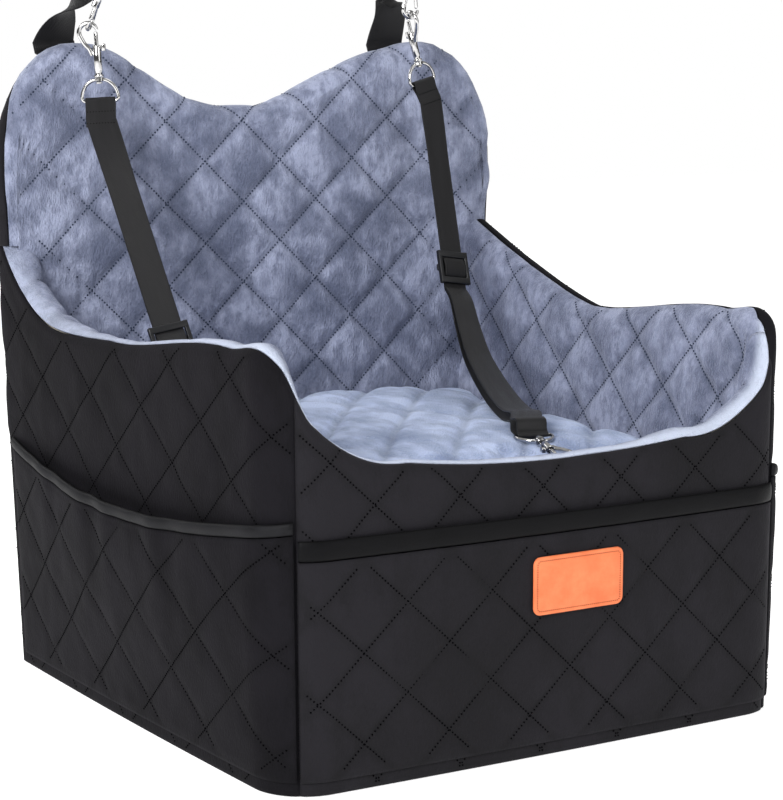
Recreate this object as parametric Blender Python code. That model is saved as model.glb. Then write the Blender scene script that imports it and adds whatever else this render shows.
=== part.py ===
"""Dog car seat: a quilted, padded booster box with a tall eared backrest, side pockets,
a seat cushion, two headrest straps and two adjustable safety tethers with swivel snaps.

Metres, +Z up. The origin is the centre of the base on the floor, the front faces -Y.
Each wall is built in layers from its outer face inwards: cover, board, foam, liner.
"""

import math

import bmesh
import bpy
from mathutils import Matrix, Vector

# Driving dimensions of the seat
SEAT_WIDTH = 0.4625
SEAT_DEPTH = 0.470
WALL_THICKNESS = 0.024
FRONT_CORNER_RADIUS = 0.040
FRONT_RIM_HEIGHT = 0.2265
FRONT_SHOULDER_HEIGHT = 0.235
SIDE_BUMP_HEIGHT = 0.319
SIDE_DIP_HEIGHT = 0.303
EAR_HEIGHT = 0.531
BACK_FLARE = 0.017
SIDE_BOW = 0.003
FRONT_BOW = 0.003
CUSHION_FLOOR_HEIGHT = 0.121
CUSHION_SEAM_HEIGHT = 0.203
CUSHION_CROWN = 0.013
WEBBING_WIDTH = 0.025
HEADREST_STRAP_WIDTH = 0.038

# Shares that shape the outline
SIDE_BACK_SHARE = 0.7006
BACK_DIP_SHARE = 0.896
EAR_SHOULDER_SHARE = 0.2072
FRONT_FLARE_SHARE = 0.25
DIP_SHARE = 0.49
BUMP_SHARE = 0.89
LEFT_FALL_POWER = 4.0
RIGHT_FALL_POWER = 1.25
LEFT_DIP_POWER = 2.0
RIGHT_DIP_POWER = 0.7
PUFF_POWER = 0.6
SWELL_POWER = 0.8
SHOULDER_SHARE = 0.18
EAR_SPREAD_SHARE = 0.694
FRONT_SEAM_SHARE = 0.62
BINDING_FILL_SHARE = 0.92
SIDE_STEPS = 24
FRONT_STEPS = 20
ROLL_STEPS = 3
ROLL_SEAM = math.radians(148)
ROLL_SEAM_GAP = math.radians(8)
SHORTEST_STEP = 0.004

# Heights that follow the ears
SIDE_BACK_HEIGHT = EAR_HEIGHT * SIDE_BACK_SHARE
BACK_DIP_HEIGHT = EAR_HEIGHT * BACK_DIP_SHARE
EAR_SHOULDER_DROP = EAR_HEIGHT * EAR_SHOULDER_SHARE

# Layers and clearances
GAP = 0.0003
COVER_SKIN = 0.002
BOARD_SKIN = 0.003
LINER_SKIN = 0.0035
QUILT_HEIGHT = 0.079
QUILT_PUFF = 0.004
ROLL_RADIUS = WALL_THICKNESS / 2
BOARD_DEPTH = COVER_SKIN + GAP
FOAM_DEPTH = BOARD_DEPTH + BOARD_SKIN + GAP
FOAM_THICKNESS = WALL_THICKNESS - FOAM_DEPTH - LINER_SKIN - 3 * GAP
SEAM_GAP = 0.001
BASE_SKIN = 0.002
BASE_BOARD_DEPTH = 0.004
FLOOR_LINER_SKIN = 0.0027
CUSHION_CORNER_CUT = 0.004
CUSHION_EDGE_FADE = 0.030
CUSHION_PUFF = 0.005
POCKET_FOOT = 0.011
POCKET_SKIN = 0.0016
FRONT_POCKET_TOP = 0.1705
FRONT_POCKET_BULGE = 0.003
FRONT_BINDING_HEIGHT = 0.016
FRONT_BINDING_THICKNESS = 0.003
SIDE_POCKET_TOP = 0.190
SIDE_POCKET_SAG = 0.020
SIDE_POCKET_BULGE = 0.0135
HEM_HEIGHT = 0.010
HEM_THICKNESS = 0.005
PATCH_WIDTH = 0.082
PATCH_HEIGHT = 0.044
PATCH_CORNER = 0.006
PATCH_SKIN = 0.0018
PATCH_X = 0.017
PATCH_CENTRE_HEIGHT = 0.133
WEBBING_SKIN = 0.0013
TAIL_LENGTH = 0.022
LOOP_NECK = 0.008
TWIST_LENGTH = 0.060
LOWER_STEP = 0.013
HEADREST_STEP = 0.010
HEADREST_LEAD = 0.006
STRAIGHT_STEPS = 12
SLIDER_LEAD = 0.62
LOWER_TWIST = 1.4
TAPER_START_SHARE = 0.25
TAPER_SHARE = 0.7
RETURN_SAG = 0.0035
SLIDER_LENGTH = 0.030
SLIDER_BAR = 0.006
SLIDER_BAR_SKIN = 0.0022
SLIDER_SIDE_PLAY = 0.0009
SLIDER_LEG = 0.0038
ZIP_LENGTH = 0.380
ZIP_HEIGHT = 0.055
ZIP_TAPE_WIDTH = 0.024
ZIP_TAPE_SKIN = 0.0012
ZIP_SLIDER_WIDTH = 0.010
ZIP_SLIDER_HEIGHT = 0.012
ZIP_SLIDER_SKIN = 0.0024
ZIP_SLIDER_X = -0.150
ZIP_BRIDGE_WIDTH = 0.0022
ZIP_POST = 0.0014
ZIP_PLAY = 0.0005
ZIP_PULL_SKIN = 0.0014
ZIP_PULL_LENGTH = 0.024

# Where the tethers and headrest straps run
TETHERS = {
    "left": {
        "snap_origin": (-0.17525, 0.1710, 0.5035), "snap_axis": (-0.06, 0.0, 1.0),
        "eye_side": (0.85, -0.527, 0.0), "hook_side": (0.85, -0.527, 0.0),
        "top_side": (0.85, -0.527, 0.0), "run_side": (0.98, -0.17, 0.10),
        "slider": (-0.15625, 0.0800, 0.2900),
        "lower": [(-0.15475, 0.0660, 0.2620), (-0.15375, 0.0440, 0.2440), (-0.15325, 0.0050, 0.2335),
                  (-0.15275, -0.0450, 0.2315), (-0.15175, -0.0850, 0.2340)],
        "low_bar": (-0.15125, -0.1340, 0.2269), "low_axis": (0.10, -0.99, -0.07),
        "low_side": (0.99, 0.10, 0.0), "low_hook": (-0.99, -0.10, 0.0),
    },
    "right": {
        "snap_origin": (0.14275, 0.1780, 0.5155), "snap_axis": (-0.245, 0.05, 0.97),
        "eye_side": (0.985, 0.174, 0.0), "hook_side": (0.0, 1.0, 0.0),
        "top_side": (0.985, 0.174, 0.0), "run_side": (0.985, 0.174, -0.09),
        "slider": (0.14075, 0.1155, 0.3327),
        "lower": [(0.13675, 0.0947, 0.3062), (0.12875, 0.0698, 0.2825), (0.11775, 0.0376, 0.2605),
                  (0.09875, -0.0178, 0.2409), (0.07675, -0.0740, 0.2325), (0.06175, -0.1100, 0.2345)],
        "low_bar": (0.04375, -0.1460, 0.2269), "low_axis": (-0.30, -0.95, -0.09),
        "low_side": (0.954, -0.30, 0.0), "low_hook": (-0.954, 0.30, 0.0),
    },
}
HEADRESTS = {
    "left": {
        "up": (0.36, -0.10, 0.93), "hook_side": (-0.527, -0.85, 0.0), "eye_side": (0.85, -0.527, 0.0),
        "base_x": -0.17025, "path": [(-0.18125, 0.2290, 0.5500), (-0.17225, 0.2110, 0.5740)],
    },
    "right": {
        "up": (-0.10, 0.0, 0.99), "hook_side": (1.0, 0.0, 0.0), "eye_side": (0.985, 0.174, 0.0),
        "base_x": 0.13575, "path": [(0.14525, 0.2300, 0.5540), (0.13775, 0.2110, 0.5800)],
    },
}
CLOTH_ROUGHNESS = 0.9
BOARD_ROUGHNESS = 0.6
BAND_ROUGHNESS = 0.35
LEATHER_ROUGHNESS = 0.45
WEBBING_ROUGHNESS = 0.5
PLASTIC_ROUGHNESS = 0.35
CHROME_ROUGHNESS = 0.12

# Colours from the photograph
BLACK_VELVET = (0.018, 0.018, 0.021)
BLACK_BAND = (0.010, 0.010, 0.012)
GREY_BLUE = (0.25, 0.29, 0.38)
PALE_BLUE = (0.34, 0.41, 0.54)
WEBBING_BLACK = (0.022, 0.022, 0.024)
PLASTIC_BLACK = (0.030, 0.031, 0.034)
CHROME = (0.80, 0.80, 0.81)
ORANGE_LEATHER = (0.86, 0.27, 0.09)
FOAM_CREAM = (0.72, 0.68, 0.58)
BOARD_GREY = (0.35, 0.35, 0.36)

for old in list(bpy.data.objects):
    bpy.data.objects.remove(old, do_unlink=True)

SEAT = bpy.data.collections.new("dog_car_seat")
CUTTERS = bpy.data.collections.new("cutters")
for group in (SEAT, CUTTERS):
    bpy.context.scene.collection.children.link(group)


# Objects and materials

def material(name, colour, roughness, metallic=0.0):
    """One Principled material."""
    made = bpy.data.materials.get(name) or bpy.data.materials.new(name)
    made.use_nodes = True
    shader = made.node_tree.nodes["Principled BSDF"]
    shader.inputs["Base Color"].default_value = (*colour, 1.0)
    shader.inputs["Roughness"].default_value = roughness
    shader.inputs["Metallic"].default_value = metallic
    made.diffuse_color = (*colour, 1.0)
    return made


def finish(name, mesh, colour, roughness, metallic=0.0, smooth_angle=0.6):
    """Link a mesh to the seat's collection as a named piece."""
    piece = bpy.data.objects.new(name, mesh)
    SEAT.objects.link(piece)
    mesh.materials.clear()
    mesh.materials.append(material(name + "_finish", colour, roughness, metallic))
    mesh.shade_smooth()
    mesh.set_sharp_from_angle(angle=smooth_angle)
    return piece


def ease(share):
    """Smooth step from 0 to 1."""
    share = min(max(share, 0.0), 1.0)
    return share * share * (3 - 2 * share)


def steep_ease(share):
    """Smoother and steeper step from 0 to 1."""
    share = min(max(share, 0.0), 1.0)
    return share ** 3 * (share * (share * 6 - 15) + 10)


def spread(first, last, steps):
    """Evenly spaced values from first to last."""
    return [first + (last - first) * index / steps for index in range(steps + 1)]


# Meshes

def sheet_faces(columns, rows, diagonal=None):
    """Faces of a grid of point keys (0, i, j); diagonal() picks the split of each cell."""
    faces = []
    for i in range(columns):
        for j in range(rows):
            low, far, top, near = (0, i, j), (0, i + 1, j), (0, i + 1, j + 1), (0, i, j + 1)
            if diagonal is None:
                faces.append((low, far, top, near))
            elif diagonal(i, j):
                faces += [(low, far, top), (low, top, near)]
            else:
                faces += [(low, far, near), (far, top, near)]
    return faces


def mesh_from(shape, name):
    """Turn a bmesh into mesh data with its faces outwards."""
    bmesh.ops.recalc_face_normals(shape, faces=shape.faces)
    mesh = bpy.data.meshes.new(name)
    shape.to_mesh(mesh)
    shape.free()
    return mesh


def shell(name, faces, point):
    """Closed skin between two matching surfaces: point(key, side) gives side 0 and side 1."""
    shape = bmesh.new()
    keys = sorted({key for face in faces for key in face})
    verts = {(key, side): shape.verts.new(point(key, side)) for side in (0, 1) for key in keys}
    for face in faces:
        shape.faces.new([verts[key, 0] for key in face])
        shape.faces.new([verts[key, 1] for key in reversed(face)])
    directed = {(start, end) for face in faces for start, end in zip(face, face[1:] + face[:1])}
    for start, end in sorted(directed):
        if (end, start) not in directed:
            shape.faces.new([verts[end, 0], verts[start, 0], verts[start, 1], verts[end, 1]])
    return mesh_from(shape, name)


def loft(name, sections, closed=False):
    """Closed solid through a row of sections with equal numbers of points."""
    shape = bmesh.new()
    rings = [[shape.verts.new(point) for point in section] for section in sections]
    pairs = list(zip(rings, rings[1:] + rings[:1])) if closed else list(zip(rings, rings[1:]))
    for first, second in pairs:
        for k in range(len(first)):
            m = (k + 1) % len(first)
            shape.faces.new([first[k], first[m], second[m], second[k]])
    if not closed:
        shape.faces.new(rings[0])
        shape.faces.new(list(reversed(rings[-1])))
    return mesh_from(shape, name)


def frame(origin, axis, side):
    """Placement with its Z along the axis and its X towards the side."""
    up = Vector(axis).normalized()
    right = Vector(side)
    right = (right - up * right.dot(up)).normalized()
    turned = Matrix((right, up.cross(right), up)).transposed().to_4x4()
    return Matrix.Translation(Vector(origin)) @ turned


# Plan of the walls: a path round the outside, from the left back corner to the right one

HALF_WIDTH = SEAT_WIDTH / 2
HALF_DEPTH = SEAT_DEPTH / 2
BACK_ARC = ROLL_RADIUS * math.pi / 2
FRONT_ARC = FRONT_CORNER_RADIUS * math.pi / 2
SIDE_RUN = SEAT_DEPTH - ROLL_RADIUS - FRONT_CORNER_RADIUS
FRONT_RUN = SEAT_WIDTH - 2 * FRONT_CORNER_RADIUS
SIDE_START = BACK_ARC
SIDE_END = SIDE_START + SIDE_RUN
FRONT_START = SIDE_END + FRONT_ARC
FRONT_END = FRONT_START + FRONT_RUN
FAR_SIDE_START = FRONT_END + FRONT_ARC
FAR_SIDE_END = FAR_SIDE_START + SIDE_RUN
PATH_END = FAR_SIDE_END + BACK_ARC
LEFT_MITRE = SIDE_END + FRONT_ARC / 2
RIGHT_MITRE = PATH_END - LEFT_MITRE


def plan(distance, depth):
    """Plan point at a distance along the path, a depth inside the outer face."""
    if distance > PATH_END / 2:
        x, y = plan(PATH_END - distance, depth)
        return -x, y
    if distance < SIDE_START:
        turn = math.pi / 2 * (1 - distance / BACK_ARC)
        radius = ROLL_RADIUS - depth
        x = -HALF_WIDTH + ROLL_RADIUS - radius * math.cos(turn)
        return x, HALF_DEPTH - ROLL_RADIUS + radius * math.sin(turn)
    if distance < SIDE_END:
        return -HALF_WIDTH + depth, HALF_DEPTH - ROLL_RADIUS - (distance - SIDE_START)
    if distance < FRONT_START:
        turn = (distance - SIDE_END) / FRONT_CORNER_RADIUS
        radius = FRONT_CORNER_RADIUS - depth
        x = -HALF_WIDTH + FRONT_CORNER_RADIUS - radius * math.cos(turn)
        return x, -HALF_DEPTH + FRONT_CORNER_RADIUS - radius * math.sin(turn)
    return distance - FRONT_START - HALF_WIDTH + FRONT_CORNER_RADIUS, -HALF_DEPTH + depth


def warp(x, y, z):
    """The soft box flares towards the top of the back, and its faces bow out a little."""
    back_share = FRONT_FLARE_SHARE + (1 - FRONT_FLARE_SHARE) * (y / SEAT_DEPTH + 0.5)
    flare = BACK_FLARE * min(z / (EAR_HEIGHT - EAR_SHOULDER_DROP), 1.0) * back_share
    side_share = math.cos(math.pi * min(abs(y / SEAT_DEPTH), 0.5))
    front_share = math.cos(math.pi * min(abs(x / SEAT_WIDTH), 0.5))
    wide = x * (1 + 2 * (flare + SIDE_BOW * side_share) / SEAT_WIDTH)
    deep = y * (1 + 2 * FRONT_BOW * front_share / SEAT_DEPTH) if y < 0 else y
    return Vector((wide, deep, z))


def rim_height(distance):
    """Top of the front and side walls along the path."""
    run = min(distance, PATH_END - distance) - SIDE_START
    dip_at = SIDE_RUN * DIP_SHARE
    bump_at = SIDE_RUN * BUMP_SHARE
    shoulder_at = SIDE_RUN + FRONT_ARC + FRONT_RUN * SHOULDER_SHARE
    middle_at = SIDE_RUN + FRONT_ARC + FRONT_RUN / 2
    if run < dip_at:
        power = LEFT_FALL_POWER if distance < PATH_END / 2 else RIGHT_FALL_POWER
        fall_share = 1 - max(run, 0) / dip_at
        return SIDE_DIP_HEIGHT + (SIDE_BACK_HEIGHT - SIDE_DIP_HEIGHT) * fall_share ** power
    if run < bump_at:
        rise = ease((run - dip_at) / (bump_at - dip_at))
        return SIDE_DIP_HEIGHT + (SIDE_BUMP_HEIGHT - SIDE_DIP_HEIGHT) * rise
    if run < shoulder_at:
        fall = steep_ease((run - bump_at) / (shoulder_at - bump_at))
        return SIDE_BUMP_HEIGHT - (SIDE_BUMP_HEIGHT - FRONT_SHOULDER_HEIGHT) * fall
    tail_share = 1 - (run - shoulder_at) / (middle_at - shoulder_at)
    return FRONT_RIM_HEIGHT + (FRONT_SHOULDER_HEIGHT - FRONT_RIM_HEIGHT) * tail_share ** 2


def station_list():
    """Columns shared by every layer of the walls, so that the layers fit each other."""
    found = [0.0]
    for start, end, steps in (
        (0, SIDE_START, 2), (SIDE_START, SIDE_END, SIDE_STEPS), (SIDE_END, FRONT_START, 4),
        (FRONT_START, FRONT_END, FRONT_STEPS), (FRONT_END, FAR_SIDE_START, 4),
        (FAR_SIDE_START, FAR_SIDE_END, SIDE_STEPS), (FAR_SIDE_END, PATH_END, 2),
    ):
        found += spread(start, end, steps)[1:]
    return found


STATIONS = station_list()


def stations(first, last, every=1):
    """The shared columns between two distances and the two ends; every thins out straight runs."""
    found = [first]
    for index, mark in enumerate(STATIONS):
        turning = mark <= SIDE_START or mark >= FAR_SIDE_END
        turning = turning or SIDE_END <= mark <= FRONT_START or FRONT_END <= mark <= FAR_SIDE_START
        if first + SHORTEST_STEP < mark < last - SHORTEST_STEP and (turning or index % every == 0):
            found.append(mark)
    return found + [last]


def roll_point(rim, turn, radius):
    """Depth and height on the rounded top of a wall: turn 0 is inside, pi is outside."""
    return ROLL_RADIUS + radius * math.cos(turn), rim - ROLL_RADIUS + radius * math.sin(turn)


# Quilting: diamonds whose corners fall on every fourth grid line

def on_stitch_line(i, j):
    """True where the grid cell's rising diagonal is the better split."""
    return (i - j) % 4 == 0 or (i + j + 1) % 4 != 0


def puff(i, j):
    """Height of the quilting at a grid point, as a share of the full puff."""
    across = abs(math.sin(math.pi * (i + j) / 4))
    along = abs(math.sin(math.pi * (i - j) / 4))
    return (across * along) ** PUFF_POWER


# Walls: cover, boards, foam and quilted liner

COVER_FOOT = 0.0008
BASE_EDGE_TUCK = 0.003
LEFT_SEAM = SIDE_END + FRONT_ARC * FRONT_SEAM_SHARE
RIGHT_SEAM = PATH_END - LEFT_SEAM
BOARD_FOOT = BASE_SKIN + 2 * GAP + BOARD_SKIN
BOARD_TOP_DROP = 0.004
FOAM_SHOULDER = 0.0050
BACKREST_CLEAR = SIDE_START + WALL_THICKNESS - ROLL_RADIUS + 2 * GAP
LINER_EDGE_FADE = 0.037


def make_cover(name, first, last):
    """Panel of the black cover: foot tuck, straight wall, then round the top to the seam."""
    columns = stations(first, last)
    foot = COVER_FOOT + BASE_EDGE_TUCK

    def point(key, side):
        _, i, j = key
        rim = rim_height(columns[i])
        depth, height = COVER_SKIN * side, (COVER_FOOT, foot, rim - ROLL_RADIUS, 0)[j]
        if j == 0:
            depth += BASE_EDGE_TUCK
        if j == 3:
            turn = ROLL_SEAM + ROLL_SEAM_GAP
            depth, height = roll_point(rim, turn, ROLL_RADIUS - COVER_SKIN * side)
        return warp(*plan(columns[i], depth), height)

    mesh = shell(name, sheet_faces(len(columns) - 1, 3), point)
    return finish(name, mesh, BLACK_VELVET, CLOTH_ROUGHNESS)


def make_board(name, first, last):
    """Stiffening board of a straight stretch of wall."""
    columns = stations(first, last, 2)

    def point(key, side):
        _, i, j = key
        top = rim_height(columns[i]) - ROLL_RADIUS - BOARD_TOP_DROP
        x, y = plan(columns[i], BOARD_DEPTH + BOARD_SKIN * side)
        return warp(x, y, top if j else BOARD_FOOT)

    mesh = shell(name, sheet_faces(len(columns) - 1, 1), point)
    return finish(name, mesh, BOARD_GREY, BOARD_ROUGHNESS)


def make_foam(name, first, last):
    """Foam sheet whose rounded top fills the rolled edge of the wall."""
    far = FOAM_DEPTH + FOAM_THICKNESS
    profile = [(FOAM_DEPTH, None), (FOAM_DEPTH, 0), (ROLL_RADIUS - FOAM_SHOULDER, FOAM_SHOULDER),
               (ROLL_RADIUS + FOAM_SHOULDER, FOAM_SHOULDER), (far, 0), (far, None)]
    sections = []
    for distance in stations(first, last):
        level = rim_height(distance) - ROLL_RADIUS
        sections.append([
            warp(*plan(distance, depth), BOARD_FOOT if rise is None else level + rise)
            for depth, rise in profile
        ])
    return finish(name, loft(name, sections), FOAM_CREAM, CLOTH_ROUGHNESS)


def make_wall_liner(name, first, last):
    """Quilted liner of one wall: up the inner face and over the top to the seam."""
    columns = stations(first, last)
    start = min(range(len(STATIONS)), key=lambda index: abs(STATIONS[index] - columns[1])) - 1
    low, seam = CUSHION_FLOOR_HEIGHT + GAP, CUSHION_SEAM_HEIGHT
    heights = [rim_height(distance) - ROLL_RADIUS - seam for distance in columns]
    steps = max(1, round(sum(heights) / len(heights) / (QUILT_HEIGHT / 4)))
    turns = spread(0, ROLL_SEAM, 4)[1:]
    rows = steps + 1 + len(turns)

    def point(key, side):
        _, i, j = key
        distance = columns[i]
        rim = rim_height(distance)
        if j > steps + 1:
            turn = turns[j - steps - 2]
            depth, height = roll_point(rim, turn, ROLL_RADIUS - LINER_SKIN * (1 - side))
            return warp(*plan(distance, depth), height)
        height = low if j == 0 else seam + (rim - ROLL_RADIUS - seam) * (j - 1) / steps
        edge = min(distance - first, last - distance) / LINER_EDGE_FADE
        swell = QUILT_PUFF * puff(start + i, j - 1) * ease(edge) if 0 < j <= steps else 0
        depth = WALL_THICKNESS + swell if side else WALL_THICKNESS - LINER_SKIN
        return warp(*plan(distance, depth), height)

    faces = sheet_faces(len(columns) - 1, rows, lambda i, j: on_stitch_line(start + i, j - 1))
    return finish(name, shell(name, faces, point), GREY_BLUE, CLOTH_ROUGHNESS)


def make_walls():
    """Every layer of the front and side walls."""
    half = SEAM_GAP / 2
    make_cover("cover_left", half, LEFT_SEAM - half)
    make_cover("cover_front", LEFT_SEAM + half, RIGHT_SEAM - half)
    make_cover("cover_right", RIGHT_SEAM + half, PATH_END - half)
    make_board("left_board", BACKREST_CLEAR, SIDE_END - GAP)
    make_board("front_board", FRONT_START + GAP, FRONT_END - GAP)
    make_board("right_board", FAR_SIDE_START + GAP, PATH_END - BACKREST_CLEAR)
    start = BACKREST_CLEAR + half
    make_foam("left_foam", BACKREST_CLEAR, LEFT_MITRE - half)
    make_foam("front_foam", LEFT_MITRE + half, RIGHT_MITRE - half)
    make_foam("right_foam", RIGHT_MITRE + half, PATH_END - BACKREST_CLEAR)
    make_wall_liner("left_liner", start, LEFT_MITRE - half)
    make_wall_liner("front_liner", LEFT_MITRE + half, RIGHT_MITRE - half)
    make_wall_liner("right_liner", RIGHT_MITRE + half, PATH_END - start)


# Backrest: outline, layers and rolled edge

EAR_CENTRE = HALF_WIDTH * EAR_SPREAD_SHARE
SIDE_TOP = SIDE_BACK_HEIGHT + 2 * GAP
EAR_STEPS = 8
SHOULDER_STEPS = 4
BACK_COLUMNS = 2 * (EAR_STEPS + SHOULDER_STEPS)
BACK_LOW_ROWS = 12
BACK_HIGH_ROWS = 3
BACK_INNER_INSET = ROLL_RADIUS + SEAM_GAP
SIDE_SEAM_TURN = math.radians(65)
TOP_SEAM_TURN = math.radians(135)


def outline(x, inset):
    """Top edge of the backrest at x, drawn in by inset: its height and outward direction."""
    sign = 1 if x >= 0 else -1
    offset = abs(x)
    if offset <= EAR_CENTRE:
        share = offset / EAR_CENTRE
        power = LEFT_DIP_POWER if x < 0 else RIGHT_DIP_POWER
        rise = (EAR_HEIGHT - BACK_DIP_HEIGHT) * ease(share) ** power
        slope = rise * power * 6 * (1 - share) / (3 - 2 * share) / max(offset, GAP)
        return BACK_DIP_HEIGHT + rise - inset, Vector((-slope * sign, 0, 1)).normalized()
    wide = HALF_WIDTH - inset - EAR_CENTRE
    drop = EAR_SHOULDER_DROP - inset
    turn = math.asin(min((offset - EAR_CENTRE) / wide, 1.0))
    outward = Vector((sign * math.sin(turn) / wide, 0, math.cos(turn) / drop)).normalized()
    return EAR_HEIGHT - inset - drop * (1 - math.cos(turn)), outward


def outline_point(index, inset):
    """Top edge of the backrest at a column: x, height and outward direction."""
    column = abs(index - BACK_COLUMNS // 2)
    if column <= EAR_STEPS:
        x = EAR_CENTRE * column / EAR_STEPS
    else:
        turn = math.pi / 2 * (column - EAR_STEPS) / SHOULDER_STEPS
        x = EAR_CENTRE + (HALF_WIDTH - inset - EAR_CENTRE) * math.sin(turn)
    x = x if index >= BACK_COLUMNS // 2 else -x
    return x, *outline(x, inset)


def roll_at(index, turn, radius):
    """Point of the rolled edge at a column."""
    x, height, outward = outline_point(index, ROLL_RADIUS)
    reach = radius * math.sin(turn)
    y = HALF_DEPTH - ROLL_RADIUS - radius * math.cos(turn)
    return warp(x + outward.x * reach, y, height + outward.z * reach)


def roll_surface(x, turn, lift):
    """Point over the rolled edge of the backrest, and the direction straight out of it."""
    index = max(i for i in range(BACK_COLUMNS) if outline_point(i, ROLL_RADIUS)[0] <= x)
    start, end = (outline_point(i, ROLL_RADIUS)[0] for i in (index, index + 1))
    share = (x - start) / (end - start)
    radius = ROLL_RADIUS + lift
    point = roll_at(index, turn, radius).lerp(roll_at(index + 1, turn, radius), share)
    outward = outline(x, ROLL_RADIUS)[1]
    return point, outward * math.sin(turn) - Vector((0, math.cos(turn), 0))


def backrest_layer(name, inset, near, far, rows, swell=None, rolled=None, diagonal=None):
    """One layer of the backrest between two depths; rows are heights at its sides.

    rolled gives the near and far radius of the edge roll, and whether it starts at the back.
    """
    shoulder = EAR_HEIGHT - EAR_SHOULDER_DROP
    rows = rows + [shoulder]
    low = rows[0]
    last = len(rows) - 1

    def flat(i, j):
        x, top, _ = outline_point(i, inset)
        if rows[j] <= CUSHION_SEAM_HEIGHT:
            return x, rows[j]
        base = CUSHION_SEAM_HEIGHT if low > BOARD_FOOT else low
        return x, base + (top - base) * (rows[j] - base) / (shoulder - base)

    faces = sheet_faces(BACK_COLUMNS, last, diagonal)
    border = []
    if rolled:
        lowest = min(j for j in range(last) if rows[j] > SIDE_TOP)
        border = [(0, j) for j in range(lowest, last)]
        border += [(i, last) for i in range(BACK_COLUMNS + 1)]
        border += [(BACK_COLUMNS, j) for j in range(last - 1, lowest - 1, -1)]
        for k in range(len(border) - 1):
            for m in range(ROLL_STEPS):
                corners = [(k, m), (k + 1, m), (k + 1, m + 1), (k, m + 1)]
                faces.append(tuple(
                    (1, a, b) if b else (0, *border[a]) for a, b in corners))

    def point(key, side):
        kind, i, j = key
        if kind == 0:
            x, height = flat(i, j)
            raised = swell(x, height, i, j) if swell and side else 0
            return warp(x, HALF_DEPTH - (far if side else near) - raised, height)
        column, row = border[i]
        x, height = flat(column, row)
        outward = outline_point(column, inset)[2]
        seam = SIDE_SEAM_TURN + (TOP_SEAM_TURN - SIDE_SEAM_TURN) * ease(max(0.0, outward.z))
        near_radius, far_radius, from_back = rolled
        radius = far_radius if side else near_radius
        share = j / ROLL_STEPS
        turn = math.pi - (math.pi - seam - ROLL_SEAM_GAP) * share if from_back else seam * share
        reach = radius * math.sin(turn)
        y = HALF_DEPTH - ROLL_RADIUS - radius * math.cos(turn)
        return warp(x + outward.x * reach, y, height + outward.z * reach)

    return shell(name, faces, point)


def make_backrest():
    """Cover, board, foam and quilted liner of the tall backrest."""
    shoulder = EAR_HEIGHT - EAR_SHOULDER_DROP
    above = SIDE_TOP + 2 * GAP
    foot = COVER_FOOT + BASE_EDGE_TUCK
    plain_rows = [BOARD_FOOT, above]
    mesh = backrest_layer("cover_back", ROLL_RADIUS + GAP, 0, COVER_SKIN, [foot, above], None,
                          (ROLL_RADIUS, ROLL_RADIUS - COVER_SKIN, True))
    finish("cover_back", mesh, BLACK_VELVET, CLOTH_ROUGHNESS)
    mesh = backrest_layer("back_board", BACK_INNER_INSET, BOARD_DEPTH, BOARD_DEPTH + BOARD_SKIN,
                          plain_rows)
    finish("back_board", mesh, BOARD_GREY, BOARD_ROUGHNESS)
    mesh = backrest_layer("back_foam", BACK_INNER_INSET, FOAM_DEPTH, FOAM_DEPTH + FOAM_THICKNESS,
                          plain_rows)
    finish("back_foam", mesh, FOAM_CREAM, CLOTH_ROUGHNESS)

    rows = [CUSHION_FLOOR_HEIGHT + GAP] + spread(CUSHION_SEAM_HEIGHT, above, BACK_LOW_ROWS)
    rows += spread(above, shoulder, BACK_HIGH_ROWS)[1:-1]
    side_wall_face = HALF_WIDTH - WALL_THICKNESS - QUILT_PUFF - SEAM_GAP

    def swell(x, height, i, j):
        limit = side_wall_face if height < above + QUILT_HEIGHT / 8 else HALF_WIDTH - ROLL_RADIUS
        fade = min(limit - abs(x), outline_point(i, ROLL_RADIUS)[1] - height) / LINER_EDGE_FADE
        return QUILT_PUFF * puff(i, j - 1) * ease(fade) if j else 0

    mesh = backrest_layer("back_liner", ROLL_RADIUS, WALL_THICKNESS - LINER_SKIN, WALL_THICKNESS,
                          rows, swell, (ROLL_RADIUS - LINER_SKIN, ROLL_RADIUS, False),
                          lambda i, j: on_stitch_line(i, j - 1))
    finish("back_liner", mesh, GREY_BLUE, CLOTH_ROUGHNESS)


# Floor of the box

def make_slab(name, depth, low, high, colour, roughness):
    """Flat layer that fills the plan of the box, drawn in by depth."""
    cut = SIDE_START + depth - ROLL_RADIUS if depth > ROLL_RADIUS else 0
    outline = stations(cut, PATH_END - cut, 2)
    sections = [[warp(*plan(distance, depth), height) for distance in outline]
                for height in (low, high)]
    return finish(name, loft(name, sections), colour, roughness)


def make_floor():
    """Bottom cover, base board, foam block under the cushion and the liner on top of it."""
    inner = WALL_THICKNESS - LINER_SKIN
    board_low = BASE_SKIN + GAP
    floor_skin = CUSHION_FLOOR_HEIGHT - FLOOR_LINER_SKIN
    make_slab("cover_base", COVER_SKIN + BASE_EDGE_TUCK + GAP, 0, BASE_SKIN, BLACK_VELVET,
              CLOTH_ROUGHNESS)
    make_slab("base_board", BASE_BOARD_DEPTH, board_low, board_low + BOARD_SKIN, BOARD_GREY,
              BOARD_ROUGHNESS)
    make_slab("base_foam", inner, BOARD_FOOT, floor_skin - GAP, FOAM_CREAM, CLOTH_ROUGHNESS)
    make_slab("floor_liner", inner, floor_skin, CUSHION_FLOOR_HEIGHT, GREY_BLUE, CLOTH_ROUGHNESS)


# Seat cushion

CUSHION_DEPTH = WALL_THICKNESS + QUILT_PUFF + 2 * GAP
CUSHION_COLUMNS = 28
CUSHION_ROWS = 22
CORNER_START_SHARE = 8 / 9
CUSHION_RING_SHARES = [0.72, 0.42, 0.15, 0.0]
CUSHION_RING_INSETS = [0.0030, 0.0050, 0.0015, 0.0060]


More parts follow.
